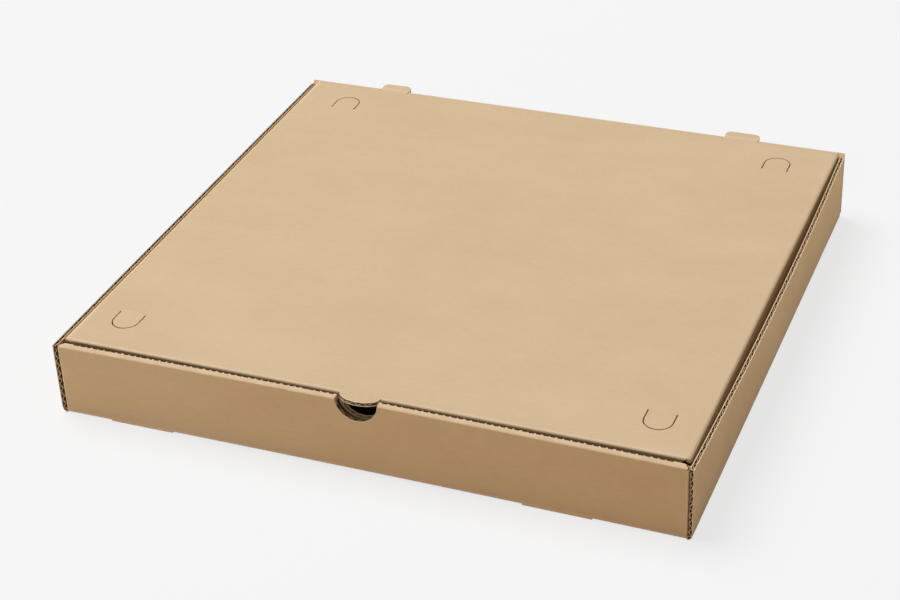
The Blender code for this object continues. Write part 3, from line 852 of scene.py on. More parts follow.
    def strip(self, s: Array, near: Array, far: Array, h: Array, along_v: bool) -> Patch:
        """A thin sheet that stands in an opening: a four-point section carried along s.

        Args:
            s: places along the edge.
            near: outer end of the section.
            far: inner end of the section.
            h: depth of its middle below the outer face.
            along_v: True if s runs across the flutes, False if along them.

        Returns:
            The welded patch.
        """
        slope = np.gradient(h, s)
        lean = np.sqrt(1 + slope * slope)
        half = BOARD.medium / 2
        shift, lift = -slope / lean * half, half / lean
        place_s = np.stack([s - shift, s - shift, s + shift, s + shift], 1)
        place_e = np.stack([far, near, near, far], 1)
        place_h = np.stack([h - lift, h - lift, h + lift, h + lift], 1)
        place_h = np.clip(place_h, self.liner * 0.5, self.thick - self.liner * 0.5)
        ids = np.arange(len(s) * 4).reshape(-1, 4)
        nxt = np.roll(ids, -1, axis=1)
        quads = np.stack([ids[:-1], nxt[:-1], nxt[1:], ids[1:]], -1).reshape(-1, 4)
        quads = np.concatenate([quads, ids[:1], ids[-1:]])
        first, second = (place_e, place_s) if along_v else (place_s, place_e)
        # Painted shade: dark at the inner end of the middle sheet, none at its cut end.
        deep = np.stack([0 * s + 1, 0 * s, 0 * s, 0 * s + 1], 1)
        return self.patch(first.ravel(), second.ravel(), place_h.ravel(), deep.ravel(), quads)

    def runs(self, mask: Array) -> list[tuple[int, int]]:
        """First and last place of each unbroken stretch of a mask."""
        edges = np.flatnonzero(np.diff(np.concatenate([[0], mask.astype(int), [0]])))
        return [(int(a), int(b)) for a, b in zip(edges[::2], edges[1::2]) if b - a > 3]

    def fluting(self) -> list[Patch]:
        """The wavy middle sheet wherever an end or a side of the board is open.

        Across the flutes it is a sine flattened towards a zigzag, its height and phase uneven.
        Along them it is the torn edge of one flute, which wanders between the liners.

        Returns:
            One patch for each stretch.
        """
        made = []
        rest = self.thick / 2
        swing = rest - self.liner - BOARD.medium * 0.45
        low, high = self.margins()
        v = np.arange(low, high, BOARD.pitch / 14)
        for which, end, way in ((self.open_low, self.low, 1.0), (self.open_high, self.high, -1.0)):
            if which is None:
                continue
            for a, b in self.runs(self.opening(which, v) > 0):
                s = v[a:b]
                turn = 2 * math.pi * s / BOARD.pitch + 0.55 * waver(s, self.seed, 31.0)
                wave = np.sin(turn) - 0.09 * np.sin(3 * turn)
                h = rest + swing * wave * (0.93 + 0.07 * waver(s, self.seed + 5, 17.0))
                edge = end(s)
                ragged = 0.25 + 0.18 * waver(s, self.seed + 9, 7.0)
                made.append(
                    self.strip(s, edge + way * ragged, edge + way * self.flute_depth, h, True)
                )
        for is_open, column, way in (
            (self.open_first, self.columns[0], 1.0),
            (self.open_last, self.columns[-1], -1.0),
        ):
            if not is_open:
                continue
            at = np.array([column])
            s = np.arange(self.low(at)[0] + 1.2, self.high(at)[0] - 1.2, 0.7)
            wave = np.clip(1.7 * waver(s, self.seed + 3, 6.3), -1, 1)
            ragged = 0.40 + 0.4 * waver(s, self.seed + 7, 5.1)
            made.append(
                self.strip(
                    s,
                    column + way * ragged,
                    np.full(len(s), column + way * BOARD.seam_depth),
                    rest + (swing - BOARD.seam_liner + self.liner) * wave,
                    False,
                )
            )
        return made


def mesh_object(name: str, patches: list[Patch], finish: bpy.types.Material) -> bpy.types.Object:
    """Makes one object from closed patches.

    Args:
        name: the object's name.
        patches: its shells.
        finish: its material.

    Returns:
        The object, its faces outwards and its hard edges sharp.
    """
    points = np.concatenate([p.points for p in patches]) * MM
    starts = np.cumsum([0] + [len(p.points) for p in patches[:-1]])
    quads = np.concatenate([p.quads + s for p, s in zip(patches, starts)])
    threes = np.concatenate([p.triangles + s for p, s in zip(patches, starts)])
    mesh = bpy.data.meshes.new(name)
    mesh.from_pydata(points.tolist(), [], quads.tolist() + threes.tolist())
    form = bmesh.new()
    form.from_mesh(mesh)
    bmesh.ops.recalc_face_normals(form, faces=form.faces)
    form.to_mesh(mesh)
    form.free()
    for label, kind, values in (
        ("sheet", "FLOAT_VECTOR", [p.sheet for p in patches]),
        ("wear_and_highlight", "FLOAT", [p.wear_and_highlight for p in patches]),
        ("painted_shade", "FLOAT", [p.painted_shade for p in patches]),
    ):
        layer = mesh.attributes.new(label, kind, "POINT")
        flat = np.concatenate(values).astype(np.float32).ravel()
        layer.data.foreach_set("vector" if kind == "FLOAT_VECTOR" else "value", flat)
    mesh.shade_smooth()
    mesh.set_sharp_from_angle(angle=math.radians(32.0))
    mesh.materials.append(finish)
    item = bpy.data.objects.new(name, mesh)
    bpy.context.scene.collection.objects.link(item)
    LOG.info("%s: %d points, %d faces", name, len(mesh.vertices), len(mesh.polygons))
    return item


def constant(value: float) -> Limit:
    """A limit that is the same for every column."""
    return lambda v: np.full(np.shape(v), float(value))


def raised(x: Array, y: Array, z: Array, top: float = 1.0) -> Array:
    """Height after the front of the box has bowed up a little in its middle.

    The bottom edge rises by 1.1 mm and the top edge by 1 mm at the middle, less towards the ends
    as the square of x, and fades out 100 mm behind the front. The top edge sits 0.5 mm lower at
    its ends.
    """
    swell = 1 - np.clip(np.abs(x) / BOX.side_x, 0, 1) ** 2
    fade = 1 - ramp(y, -212.0, -118.0)
    share = np.clip(z / BOX.front_height, 0, 1)
    return z + fade * (1.1 * swell * (1 - share) + top * (1.5 * swell - 0.5) * share)


def bowed(side: int, y: Array, z: Array) -> Array:
    """How far a side wall leans out at the middle of its top, less towards its ends and its foot.

    The right wall leans out 3 mm, the left one hardly at all.
    """
    middle = (BOX.front_y + BOX.side_rear_y) / 2
    reach = (BOX.side_rear_y - BOX.front_y) / 2
    swell = 1 - ((y - middle) / reach) ** 2
    return (3.0 if side > 0 else 0.3) * swell * (np.maximum(z, 0) / BOX.side_height) ** 1.4


@dataclass
class FrontWall:
    """The front panel, the spine on top and the panel folded down inside, one leaf round the notch."""

    nick_pitch: float = 4.8
    nick_length: float = 3.5
    nick_depth: float = 2.85
    crease_depth: float = 1.35
    seed: int = 11
    path: FoldPath = field(init=False)

    def __post_init__(self) -> None:
        """Lays out the folded section and the row of short cuts in its inner fold."""
        up = BOX.front_height - BOX.sharp - BOX.crisp
        self.path = FoldPath(
            (-BOX.front_y - BOX.sharp, 0.0),
            0.0,
            [(BOX.sharp, 90.0), (up,), (BOX.crisp, 90.0), (4.1,), (BOX.crisp, 90.0), (54.2,)],
        )
        count = int((220.1 - BOX.notch_radius) / self.nick_pitch) - 1
        start = BOX.notch_radius + (np.arange(count) + 0.5) * self.nick_pitch
        uneven = np.random.default_rng(self.seed).uniform(-0.45, 0.45, (2, count))
        ends = np.stack([start + uneven[0], start + self.nick_length + uneven[1]], 1)
        self.nicks = ends.ravel()

    def width_at(self, u: Array) -> Array:
        """Half the width of the board at a place along the section."""
        marks = self.path.marks
        places = [marks[1] - 0.6, marks[1] + 0.4, marks[2], marks[3], marks[4], marks[5]]
        return np.interp(u, places, [224.3, 223.2, 223.2, 223.7, 220.5, 220.1])

    def place(self, u: Array, v: Array, h: Array) -> tuple[Array, Array, Array]:
        """Point of the wall. The inner fold is pressed in, more at the nicks.

        Over a slot the bottom fold is a straight edge.
        """
        marks = self.path.marks
        x = np.sign(v) * np.minimum(np.abs(v), self.width_at(u))
        pressed = np.where(self.nicked(v), self.nick_depth, self.crease_depth)
        depth = h + (1 - h / BOARD.thick) * self.creased(u, v) * pressed
        out, z = self.path.at(u, depth)
        straight = within(v, BOX.lock_tabs) & (u < marks[1])
        out = np.where(straight, -BOX.front_y - h, out)
        z = np.where(straight, BOX.sharp + u - marks[1], z)
        return x, -out, raised(x, -out, z)

    def wear_and_highlight(self, u: Array, v: Array) -> Array:
        """Painted highlight with some rubbing: most on the two upper folds, uneven along them."""
        marks = self.path.marks
        # Painted highlight over the front crest and across the spine.
        crest = ramp(u, marks[2] - 0.1, marks[2] + 1.0) * (u < marks[4])
        crest = crest * (0.72 + 0.2 * waver(v, 3, 23.0))
        # A full painted highlight along the spine's rear edge.
        crest = np.where((u > marks[4] - 2.0) & (u < marks[4] - 0.3), 1.0, crest)
        return np.clip(crest + 0.35 * self.path.wear_and_highlight(u, 0.8) * (u < marks[2] - 3), 0, 1)

    def nicked(self, v: Array) -> Array:
        """True for the columns that a nick crosses."""
        return np.searchsorted(self.nicks, np.abs(v)) % 2 == 1

    def creased(self, u: Array, v: Array) -> Array:
        """1 in the pressed groove of the inner fold, 0 on the spine before it and well below it.

        The groove reaches 0.9 mm further forward at the nicks than between them.
        """
        marks = self.path.marks
        start = marks[4] - np.where(self.nicked(v), 1.35, 0.45)
        return ramp(u, start, start + 0.5) * (1 - ramp(u, marks[5] + 1.5, marks[5] + 4.0))

    def shade(self, u: Array, v: Array) -> Array:
        """Painted shade in the groove: nearly black where it is cut, brown between the cuts."""
        between = 0.15 + 0.08 * waver(v, 5, 11.0)
        return self.creased(u, v) * np.where(self.nicked(v), 1.0, between)

    def notch_height(self, x: Array) -> Array:
        """Height of the notch's edge: a half circle that hangs from the top of the wall."""
        off = np.minimum(np.abs(x), BOX.notch_radius)
        return BOX.front_height - np.sqrt(np.maximum(BOX.notch_radius**2 - off**2, 0))

    def leaves(self) -> list[Leaf]:
        """Left and right part, and the two plies under the notch."""
        marks, radius = self.path.marks, BOX.notch_radius
        edges = np.concatenate([self.nicks - 0.06, self.nicks + 0.06])
        ends = [219.6, 220.1, 220.6, 221.6, 222.4, 223.0, 223.2, 223.5]
        marked = np.concatenate([stepped(BOX.lock_tabs), edges, -edges, ends, [-e for e in ends]])
        knots = np.unique(
            np.concatenate(
                [
                    self.path.along,
                    stops(marks[1], marks[2], 9.0),
                    marks[4] + np.array([-2.1, -1.9, -1.35, -1.1, -0.85, -0.45, -0.2, 0.05]),
                    marks[5] + np.array([1.5, 2.5, 4.0]),
                    [marks[1] - BOX.sharp],
                ]
            )
        )
        knots = knots[knots <= marks[5] + 54.2]

        def low(v: Array) -> Array:
            """Bottom of the wall, higher over the slots of the lock tabs."""
            return np.where(within(v, BOX.lock_tabs), marks[1] - BOX.sharp, 0.0)

        def high(v: Array) -> Array:
            """Free edge of the inner ply, longer at the lock tabs."""
            return marks[5] + np.where(within(v, BOX.lock_tabs), 54.2, 51.0)

        made = []
        for way in (-1, 1):
            first, last = sorted((way * radius, way * 224.3))
            columns = stops(first, last, 12.0, marked[(marked > first) & (marked < last)])
            made.append(
                Leaf(
                    self.place, knots, columns, low, high, wear_and_highlight=self.wear_and_highlight, shade=self.shade,
                    seed=self.seed,
                )
            )
        turn = np.linspace(-math.pi / 2, math.pi / 2, 45)
        columns = stops(-radius, radius, 2.0, radius * np.sin(turn))

        def outer_edge(v: Array) -> Array:
            """Edge of the notch in the outer ply."""
            return np.minimum(marks[1] + self.notch_height(v) - BOX.sharp, marks[2] + 0.9)

        def inner_edge(v: Array) -> Array:
            """Edge of the notch in the inner ply, a little lower."""
            return marks[5] + 54.5 + 2.6 - np.minimum(self.notch_height(v), 54.5)

        def clear(v: Array) -> Array:
            """Columns of the notch whose flutes are open."""
            return np.abs(v) < 14.2

        # Outer ply round the notch: painted highlight on its rim, painted shade on its cut edge below
        # the outer liner.
        made.append(
            Leaf(
                self.place, knots, columns, constant(0), outer_edge, open_high=clear,
                wear_and_highlight=self.wear_and_highlight, rim=1.8, cut_core_shade=0.17, seed=self.seed,
            )
        )
        # Inner ply: painted shade along the notch's edge and on its whole cut edge.
        made.append(
            Leaf(
                self.place, knots, columns, inner_edge, constant(marks[5] + 51.0), open_low=clear,
                shade=lambda u, v: 0.32 * np.clip(1 - (u - inner_edge(v)) / 5.0, 0, 1),
                rim=0.0, cut_core_shade=0.27, seed=self.seed + 1,
            )
        )
        return made


@dataclass
class CornerFlap:
    """The flap at one end of the front panel, folded back along the inside of the side wall."""

    side: int
    length: float = 34.7
    places: tuple[float, ...] = (2.1, 2.4, 3.9, 4.2, 7.0, 8.6, 12.24, 36.74)
    heights: tuple[float, ...] = (54.1, 51.9, 51.9, 54.4, 54.4, 51.6, 42.6, 24.0)
    path: FoldPath = field(init=False)

    def __post_init__(self) -> None:
        """Lays out the upright fold and the flap behind it."""
        self.path = FoldPath((223.2, 0.0), 0.0, [(BOX.crisp, 90.0), (self.length,)])

    def place(self, u: Array, v: Array, h: Array) -> tuple[Array, Array, Array]:
        """Point of the flap: u is its height."""
        x, back = self.path.at(v, h)
        y = BOX.front_y + back
        return self.side * x, y, raised(x, y, u)

    def top(self, v: Array) -> Array:
        """Full height on the fold, then lower, then slanted down towards the free end."""
        return np.interp(v, self.places, self.heights)

    def leaf(self) -> Leaf:
        """The flap as one leaf."""
        fold = self.path.marks[1]
        return Leaf(
            self.place,
            stops(1.0, 54.1, 9.0),
            stops(0.0, self.path.marks[2], 3.0, self.path.along, self.places[:-1]),
            lambda v: np.interp(v, [fold + 0.2, fold + 0.8], [1.0, 4.2]),
            self.top,
            open_high=lambda v: v > 2.8,
            open_last=True,
            wear_and_highlight=lambda u, v: 0.5 * self.path.wear_and_highlight(v, 0.8),
            seed=21 + self.side,
        )


@dataclass
class SideWall:
    """One side wall with its soft bottom fold, and the flap that turns the back corner."""

    side: int
    inner_recess: float = 2.5
    path: FoldPath = field(init=False)
    turn: FoldPath = field(init=False)

    def __post_init__(self) -> None:
        """Lays out the wall's section and the plan of its back corner."""
        self.path = FoldPath((200.0, 0.0), 0.0, [(24.0,), (BOX.soft, 90.0), (51.0,)])
        start = BOX.side_rear_y - BOX.sharp
        self.turn = FoldPath((start, 0.0), 0.0, [(BOX.sharp, 90.0), (49.0,)])

    def place(self, u: Array, v: Array, h: Array) -> tuple[Array, Array, Array]:
        """Point of the wall: u is the place along the box, v runs up its section."""
        x, z = self.path.at(v, h)
        u = np.maximum(u, BOX.front_y + self.inner_recess * (h > BOARD.thick - BOARD.liner - 0.01))
        return self.side * (x + bowed(self.side, u, z)), u, raised(x, u, z, 0.0)

    def wall(self) -> Leaf:
        """The wall, its front end open and flush with the front panel, its top edge an open seam."""
        end = self.path.marks[3]
        return Leaf(
            self.place,
            stops(BOX.front_y, BOX.side_rear_y - BOX.sharp, 14.0, -218.95, -217.0, -216.4),
            stops(0.0, end, 8.0, self.path.along, 24.34, 24.36, end - 2.75),
            lambda v: np.where(v < 24.35, BOX.front_y + BOX.sharp, BOX.front_y),
            constant(BOX.side_rear_y - BOX.sharp),
            open_low=lambda v: v > 25.0,
            open_last=True,
            wear_and_highlight=lambda u, v: 0.3 * self.path.wear_and_highlight(v, 1.0),
            # Painted shade along the top edge of the left wall only, where its pale rim is also
            # fainter.
            shade=lambda u, v: 0.14 * np.clip(1 - (end - v) / 1.2, 0, 1) * (self.side < 0),
            rim=0.7 if self.side > 0 else 0.1,
            seed=31 + self.side,
        )

    def corner_place(self, u: Array, v: Array, h: Array) -> tuple[Array, Array, Array]:
        """Point of the back corner: u runs round it, v is the height, cut lower on the flap."""
        y, inward = self.turn.at(u, h)
        z = np.minimum(v, np.interp(u, [2.9, 3.6], [BOX.side_height, 49.0]))
        x = BOX.side_x - inward + bowed(self.side, np.minimum(y, 208.0), z)
        return self.side * x, y, z

    def corner(self) -> Leaf:
        """The rounded back corner and its flap."""
        end = self.turn.marks[2]
        return Leaf(
            self.corner_place,
            stops(0.0, end, 12.0, self.turn.along, 2.9, 3.2, 3.6),
            stops(4.2, BOX.side_height, 8.0, 49.0, 48.9, 40.0, 43.0, 46.0, 46.6),
            constant(0),
            lambda v: end - np.clip(v - 40.0, 0, 9.0),
            open_high=lambda v: v < 39.0,
            open_last=True,
            wear_and_highlight=lambda u, v: 0.4 * self.turn.wear_and_highlight(u, 1.0),
            seed=41 + self.side,
        )

    def leaves(self) -> list[Leaf]:
        """Both leaves of this side."""
        return [self.wall(), self.corner()]


@dataclass
class BackWall:
    """The back wall, from its bottom fold to the middle of the fold that it shares with the lid."""

    path: FoldPath = field(init=False)

    def __post_init__(self) -> None:
        """Lays out the section."""
        self.path = FoldPath(
            (BOX.back_y - BOX.sharp, 0.0),
            0.0,
            [(BOX.sharp, 90.0), (BOX.top - BOX.sharp - BOX.crisp,), (BOX.crisp, 90.0)],
        )

    def spans(self) -> list[tuple[float, float]]:
        """Left and right end of the hole behind each rear tab."""
        reach = BOX.tab_clearance
        return [(m - w / 2 - reach, m + w / 2 + reach) for m, w in BOX.rear_tabs]

    def place(self, u: Array, v: Array, h: Array) -> tuple[Array, Array, Array]:
        """Point of the wall, its outer face recessed near the hinge for the skin that crosses it."""
        marks = self.path.marks
        x = np.sign(v) * np.minimum(np.abs(v), np.where(u < marks[1] + 1.8, 224.0, 227.7))
        skinned = ~within(v, self.spans()) * (np.abs(v) < BOX.panel_x)
        recess = BOARD.recess * (u > marks[2] - 2.1) * skinned
        y, z = self.path.at(u, np.maximum(h, recess))
        return x, y, z

    def high(self, v: Array) -> Array:
        """The middle of the shared fold, or the edge of a hole with its rounded corners."""
        marks = self.path.marks
        top = np.full(np.shape(v), marks[2] + 0.92)
        for low, high in self.spans():
            edge = BOX.top - BOX.rear_tab_length - BOX.tab_clearance + cut_corner(v, low, high)
            inside = (v >= low) & (v <= high)
            top = np.where(inside, marks[1] + edge - BOX.sharp, top)
        return top

    def leaf(self) -> Leaf:
        """The wall as one leaf, its sides and the holes' edges open."""
        marks, corner = self.path.marks, BOX.rear_tab_corner
        marked = [*stepped((-BOX.panel_x, BOX.panel_x)), -226.0, -224.0, 224.0, 226.0]
        for low, high in self.spans():
            marked += corner_columns(low, high, 7)
        narrow = [(low + corner, high - corner) for low, high in self.spans()]
        return Leaf(
            self.place,
            stops(0.0, marks[3], 9.0, self.path.along, stepped((marks[2] - 2.1, marks[1] + 1.8))),
            stops(-227.7, 227.7, 12.0, marked),
            constant(0),
            self.high,
            open_high=lambda v: within(v, narrow),
            open_first=True,
            open_last=True,
            wear_and_highlight=lambda u, v: 0.4 * self.path.wear_and_highlight(u, 1.0),
            seed=51,
        )


@dataclass
class Tray:
    """The lower half of the box."""

    finish: Kraft

    def bottom(self) -> Leaf:
        """The flat bottom, cut back behind the front panel where the lock tabs come through."""
        return Leaf(
            lambda u, v, h: (v, u, raised(v, u, h, 0.0)),
            stops(BOX.front_y + BOX.sharp, BOX.back_y - BOX.sharp, 20.0, -213.95),
            stops(-200.0, 200.0, 20.0, stepped(BOX.lock_tabs)),
            lambda v: np.where(within(v, BOX.lock_tabs), -213.95, BOX.front_y + BOX.sharp),
            constant(BOX.back_y - BOX.sharp),
            seed=61,
        )

    def leaves(self) -> list[Leaf]:
        """Every leaf of the tray."""
        made = [self.bottom(), *FrontWall().leaves(), BackWall().leaf()]
        for side in (-1, 1):
            made += [CornerFlap(side).leaf(), *SideWall(side).leaves()]
        return made

    def build(self) -> None:
        """Makes the board and its fluting and lets them ride on the tray."""
        leaves = self.leaves()
        shells = [leaf.shell() for leaf in leaves]
        board = mesh_object("tray_board", shells, self.finish.material())
        flutes = [patch for leaf in leaves for patch in leaf.fluting()]
        middle = mesh_object("tray_fluting", flutes, Fluting("tray_fluting").material())
        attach(board, "tray")
        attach(middle, "tray")
        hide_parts("tray")


@dataclass(frozen=True)
class Vent:
    """One U-shaped die cut: the middle and fold line of its flap, and the way it points."""

    name: str
    x: float
    root: float
    way: int
    half: float = 9.3
    length: float = 19.4
    cut: float = 0.95
    gap: float = 0.08
    skin_half: float = 9.2
    skin_reach: float = 2.2

    def reach(self, v: Array, grow: float) -> Array:
        """Length of the tongue at each column, straight with a half-round tip, widened by grow."""
        half = self.half + grow
        off = np.clip(np.abs(v - self.x), 0, half)
        return self.length - self.half + np.sqrt(np.maximum(half**2 - off**2, 0))

    def inside(self, v: Array, grow: float) -> Array:
        """True for the columns that the tongue crosses."""
        return np.abs(v - self.x) <= self.half + grow

    def columns(self, grow: float) -> Array:
        """Columns that follow the half-round tip."""
        half = self.half + grow
        return self.x + half * np.sin(np.linspace(-math.pi / 2, math.pi / 2, 25))


VENTS = (
    Vent("vent_flap_front_left", -192.8, -169.45, -1),
    Vent("vent_flap_front_right", 192.8, -169.45, -1),
    Vent("vent_flap_rear_left", -182.0, 168.35, 1),
    Vent("vent_flap_rear_right", 182.0, 168.35, 1),
)


@dataclass
class LidPanel:
    """The lid's top, tuck flap, finger tab and rear tabs. u runs from the hinge to the front."""

    lean: float = 4.15
    drop: float = 35.7
    hole_depth: float = 14.5
    path: FoldPath = field(init=False)

    def __post_init__(self) -> None:
        """Lays out the section: half the hinge fold, the flat top, the front fold and the tuck flap."""
        run = BOX.back_y - BOX.crisp - BOX.lid_front - BOX.lid_fold
        self.path = FoldPath(
            (-BOX.back_y, BOX.crisp),
            -90.0,
            [(BOX.crisp, 90.0), (run,), (BOX.lid_fold, 90.0 + self.lean), (self.drop,)],
        )
        self.zero = BOX.back_y - BOX.crisp + self.path.marks[1]

    def u_at(self, y: Any) -> Any:
        """Place along the section of a point of the flat top."""
        return self.zero - y

    def tab_spans(self) -> list[tuple[float, float]]:
        """Left and right edge of each rear tab."""
        return [(m - w / 2, m + w / 2) for m, w in BOX.rear_tabs]

    def flat(self, u: Array, v: Array, h: Array, tab: bool) -> tuple[Array, Array, Array]:
        """Point of the lid. Tabs run on in the plane of the top where the rest folds down."""
        marks = self.path.marks
        places = [marks[2], marks[2] + 1.2, marks[3], marks[3] + 8.0, marks[4]]
        width = np.interp(u, places, [221.0, 220.7, 219.6, 213.0, 203.3])
        x = np.sign(v) * np.minimum(np.abs(v), width)
        behind = within(v, self.tab_spans())
        recess = BOARD.recess * (u < marks[1] + 2.1) * ~behind
        for vent in VENTS:
            near = np.abs(u - self.u_at(vent.root)) < vent.skin_reach
            recess = np.where(near & vent.inside(v, -0.1), BOARD.recess, recess)
        out, down = self.path.at(u, np.maximum(h, recess))
        finger = tab & (np.abs(v) <= BOX.finger_reach) & (u > marks[2] - 3.0)
        straight = (behind & (u < marks[1] + 3.0)) | finger
        y = np.where(straight, self.zero - u, -out)
        z = BOX.top - np.where(straight, h, down)
        return x, y, z

    def place(self, u: Array, v: Array, h: Array) -> tuple[Array, Array, Array]:
        """Point of the top, with the finger tab."""
        return self.flat(u, v, h, True)

    def tuck_place(self, u: Array, v: Array, h: Array) -> tuple[Array, Array, Array]:
        """Point of the tuck flap below the hole that the finger tab leaves."""
        return self.flat(u, v, h, False)

    def hinge_end(self, v: Array) -> Array:
        """Where the lid starts: the middle of the shared fold, or the rounded end of a rear tab."""
        start = np.full(np.shape(v), self.path.marks[1] / 2 + 0.1)
        for low, high in self.tab_spans():
            end = BOX.back_y + BOX.rear_tab_length - cut_corner(v, low, high)
            start = np.where((v >= low) & (v <= high), self.u_at(end), start)
        return start

    def finger(self, v: Array) -> Array:
        """Share of the finger tab's reach: the root of one less the square of the place across it."""
        return np.sqrt(1 - np.clip(np.abs(v) / BOX.finger_reach, 0, 1) ** 2)

    def front_end(self, v: Array) -> Array:
        """Where the lid ends: the free edge of the tuck flap, or the half-round finger tab."""
        tab = self.u_at(BOX.lid_front - BOX.finger_length * self.finger(v))
        return np.where(np.abs(v) <= BOX.finger_reach, tab, self.path.marks[4])

    def vent_edge(self, way: int) -> Limit:
        """Edge of a ribbon of the top that has the vents of one row cut into it."""

        def edge(v: Array) -> Array:
            """The fold line of the row, stepped back round each tongue."""
            rows = [vent for vent in VENTS if vent.way == way]
            limit = np.full(np.shape(v), self.u_at(rows[0].root))
            for vent in rows:
                reach = vent.reach(v, vent.cut)
                limit = np.where(vent.inside(v, vent.cut), limit - way * reach, limit)
            return limit

        return edge

    def columns(self) -> Array:
        """Columns across the top, following every tab and vent."""
        marked = []
        for vent in VENTS:
            tip = vent.columns(vent.cut)
            recess = stepped((vent.x - vent.skin_half, vent.x + vent.skin_half))
            marked += [*tip, tip[0] - 0.02, tip[-1] + 0.02, *recess]
        for low, high in self.tab_spans():
            marked += corner_columns(low, high, 8)
        finger = BOX.finger_reach * np.sin(np.linspace(-math.pi / 2, math.pi / 2, 41))
        marked += [*finger, -BOX.finger_reach - 0.02, BOX.finger_reach + 0.02]
        ends = [203.3, 208.0, 213.0, 219.6, 220.7]
        marked = np.concatenate([marked, ends, [-e for e in ends]])
        return stops(-BOX.panel_x, BOX.panel_x, 14.0, marked)

    def wear_and_highlight(self, u: Array, v: Array) -> Array:
        """Painted highlight with some rubbing: on the edge of the front fold and the left edge, slight
        on the hinge.
        """
        marks = self.path.marks
        front = np.clip(1 - np.abs(u - marks[2] - 0.3) / 1.1, 0, 1)
        front = front * (0.75 + 0.3 * waver(v, 9, 31.0))
        folds = np.where(u > marks[2] - 2, 0.8 * front, 0.35 * self.path.wear_and_highlight(u, 0.8))
        # Painted highlight along the left edge only, the side the key lamp lights.
        side = np.clip(1 - np.abs(v + BOX.panel_x) / 1.2, 0, 1)
        return np.maximum(folds * (np.abs(v) > BOX.finger_reach), side)

    def shade(self, u: Array, v: Array) -> Array:
        """Painted shade in the crease just below the front fold, none on the finger tab."""
        start = self.path.marks[3]
        crease = ramp(u, start - 0.3, start + 0.3) * (1 - ramp(u, start + 2.0, start + 3.5))
        return 0.17 * crease * (np.abs(v) > BOX.finger_reach)

    def leaves(self) -> list[Leaf]:
        """Rear, middle and front ribbon of the top, and the middle of the tuck flap."""
        marks, columns = self.path.marks, self.columns()
        rear, front = self.u_at(VENTS[2].root), self.u_at(VENTS[0].root)
        reach = VENTS[0].skin_reach
        roots = [rear - reach, rear + reach, front - reach, front + reach]
        recess = stepped([*roots, marks[1] + 2.1])
        knots = stops(-9.0, marks[4], 24.0, self.path.along, recess)
        fold = marks[2] + np.array([-1.0, -0.4, 0.0, 3.0, 6.0])
        knots = np.unique(np.concatenate([knots, stops(-9.0, 0.0, 3.0), fold]))
        corner = BOX.rear_tab_corner
        narrow = [(low + corner, high - corner) for low, high in self.tab_spans()]
        reach = BOX.finger_reach - 1.5

        def hole_edge(v: Array) -> Array:
            """Upper edge of the tuck flap, a half round below the finger tab."""
            return marks[3] + 2.6 + self.hole_depth * self.finger(v)

        made = [
            Leaf(
                self.place, knots, columns, self.hinge_end, self.vent_edge(1),
                open_low=lambda v: within(v, narrow), wear_and_highlight=self.wear_and_highlight, seed=71,
            ),
            Leaf(self.place, knots, columns, constant(rear), constant(front), seed=71),
            Leaf(
                self.place, knots, columns, self.vent_edge(-1), self.front_end,
                open_high=lambda v: (np.abs(v) < reach) | (np.abs(v) > 14.6), wear_and_highlight=self.wear_and_highlight,
                shade=self.shade, seed=71,
            ),
            Leaf(
                self.tuck_place,
                stops(marks[3], marks[4], 8.0),
                stops(-BOX.finger_reach, BOX.finger_reach, 1.2),
                hole_edge, constant(marks[4]), open_low=lambda v: np.abs(v) < reach, seed=72,
            ),
        ]
        return made

    def skins(self) -> list[Patch]:
        """The outer liner that runs on across the hinge, between the rear tabs.

        Its section is the hinge fold with a short run on each side, 0.4 mm thick.
        """
        path = FoldPath((BOX.back_y, 53.7), 90.0, [(2.0,), (BOX.crisp, 90.0), (2.0,)])

        def place(u: Array, v: Array, h: Array) -> tuple[Array, Array, Array]:
            """Point of the strip, v across the box."""
            y, z = path.at(u, h)
            return v, y, z

        clear = BOX.tab_clearance
        edges = [-BOX.panel_x]
        for low, high in self.tab_spans():
            edges += [low - clear, high + clear]
        edges.append(BOX.panel_x)
        made = []
        for first, last in zip(edges[::2], edges[1::2]):
            made.append(
                Leaf(
                    place, stops(0.0, path.marks[3], 0.35, path.along), stops(first, last, 12.0),
                    constant(0), constant(path.marks[3]), seed=51, thick=BOARD.skin,
                    liner=BOARD.skin_liner,
                    wear_and_highlight=lambda u, v: 0.4 * path.wear_and_highlight(u, 1.0),
                ).shell()
            )
        return made


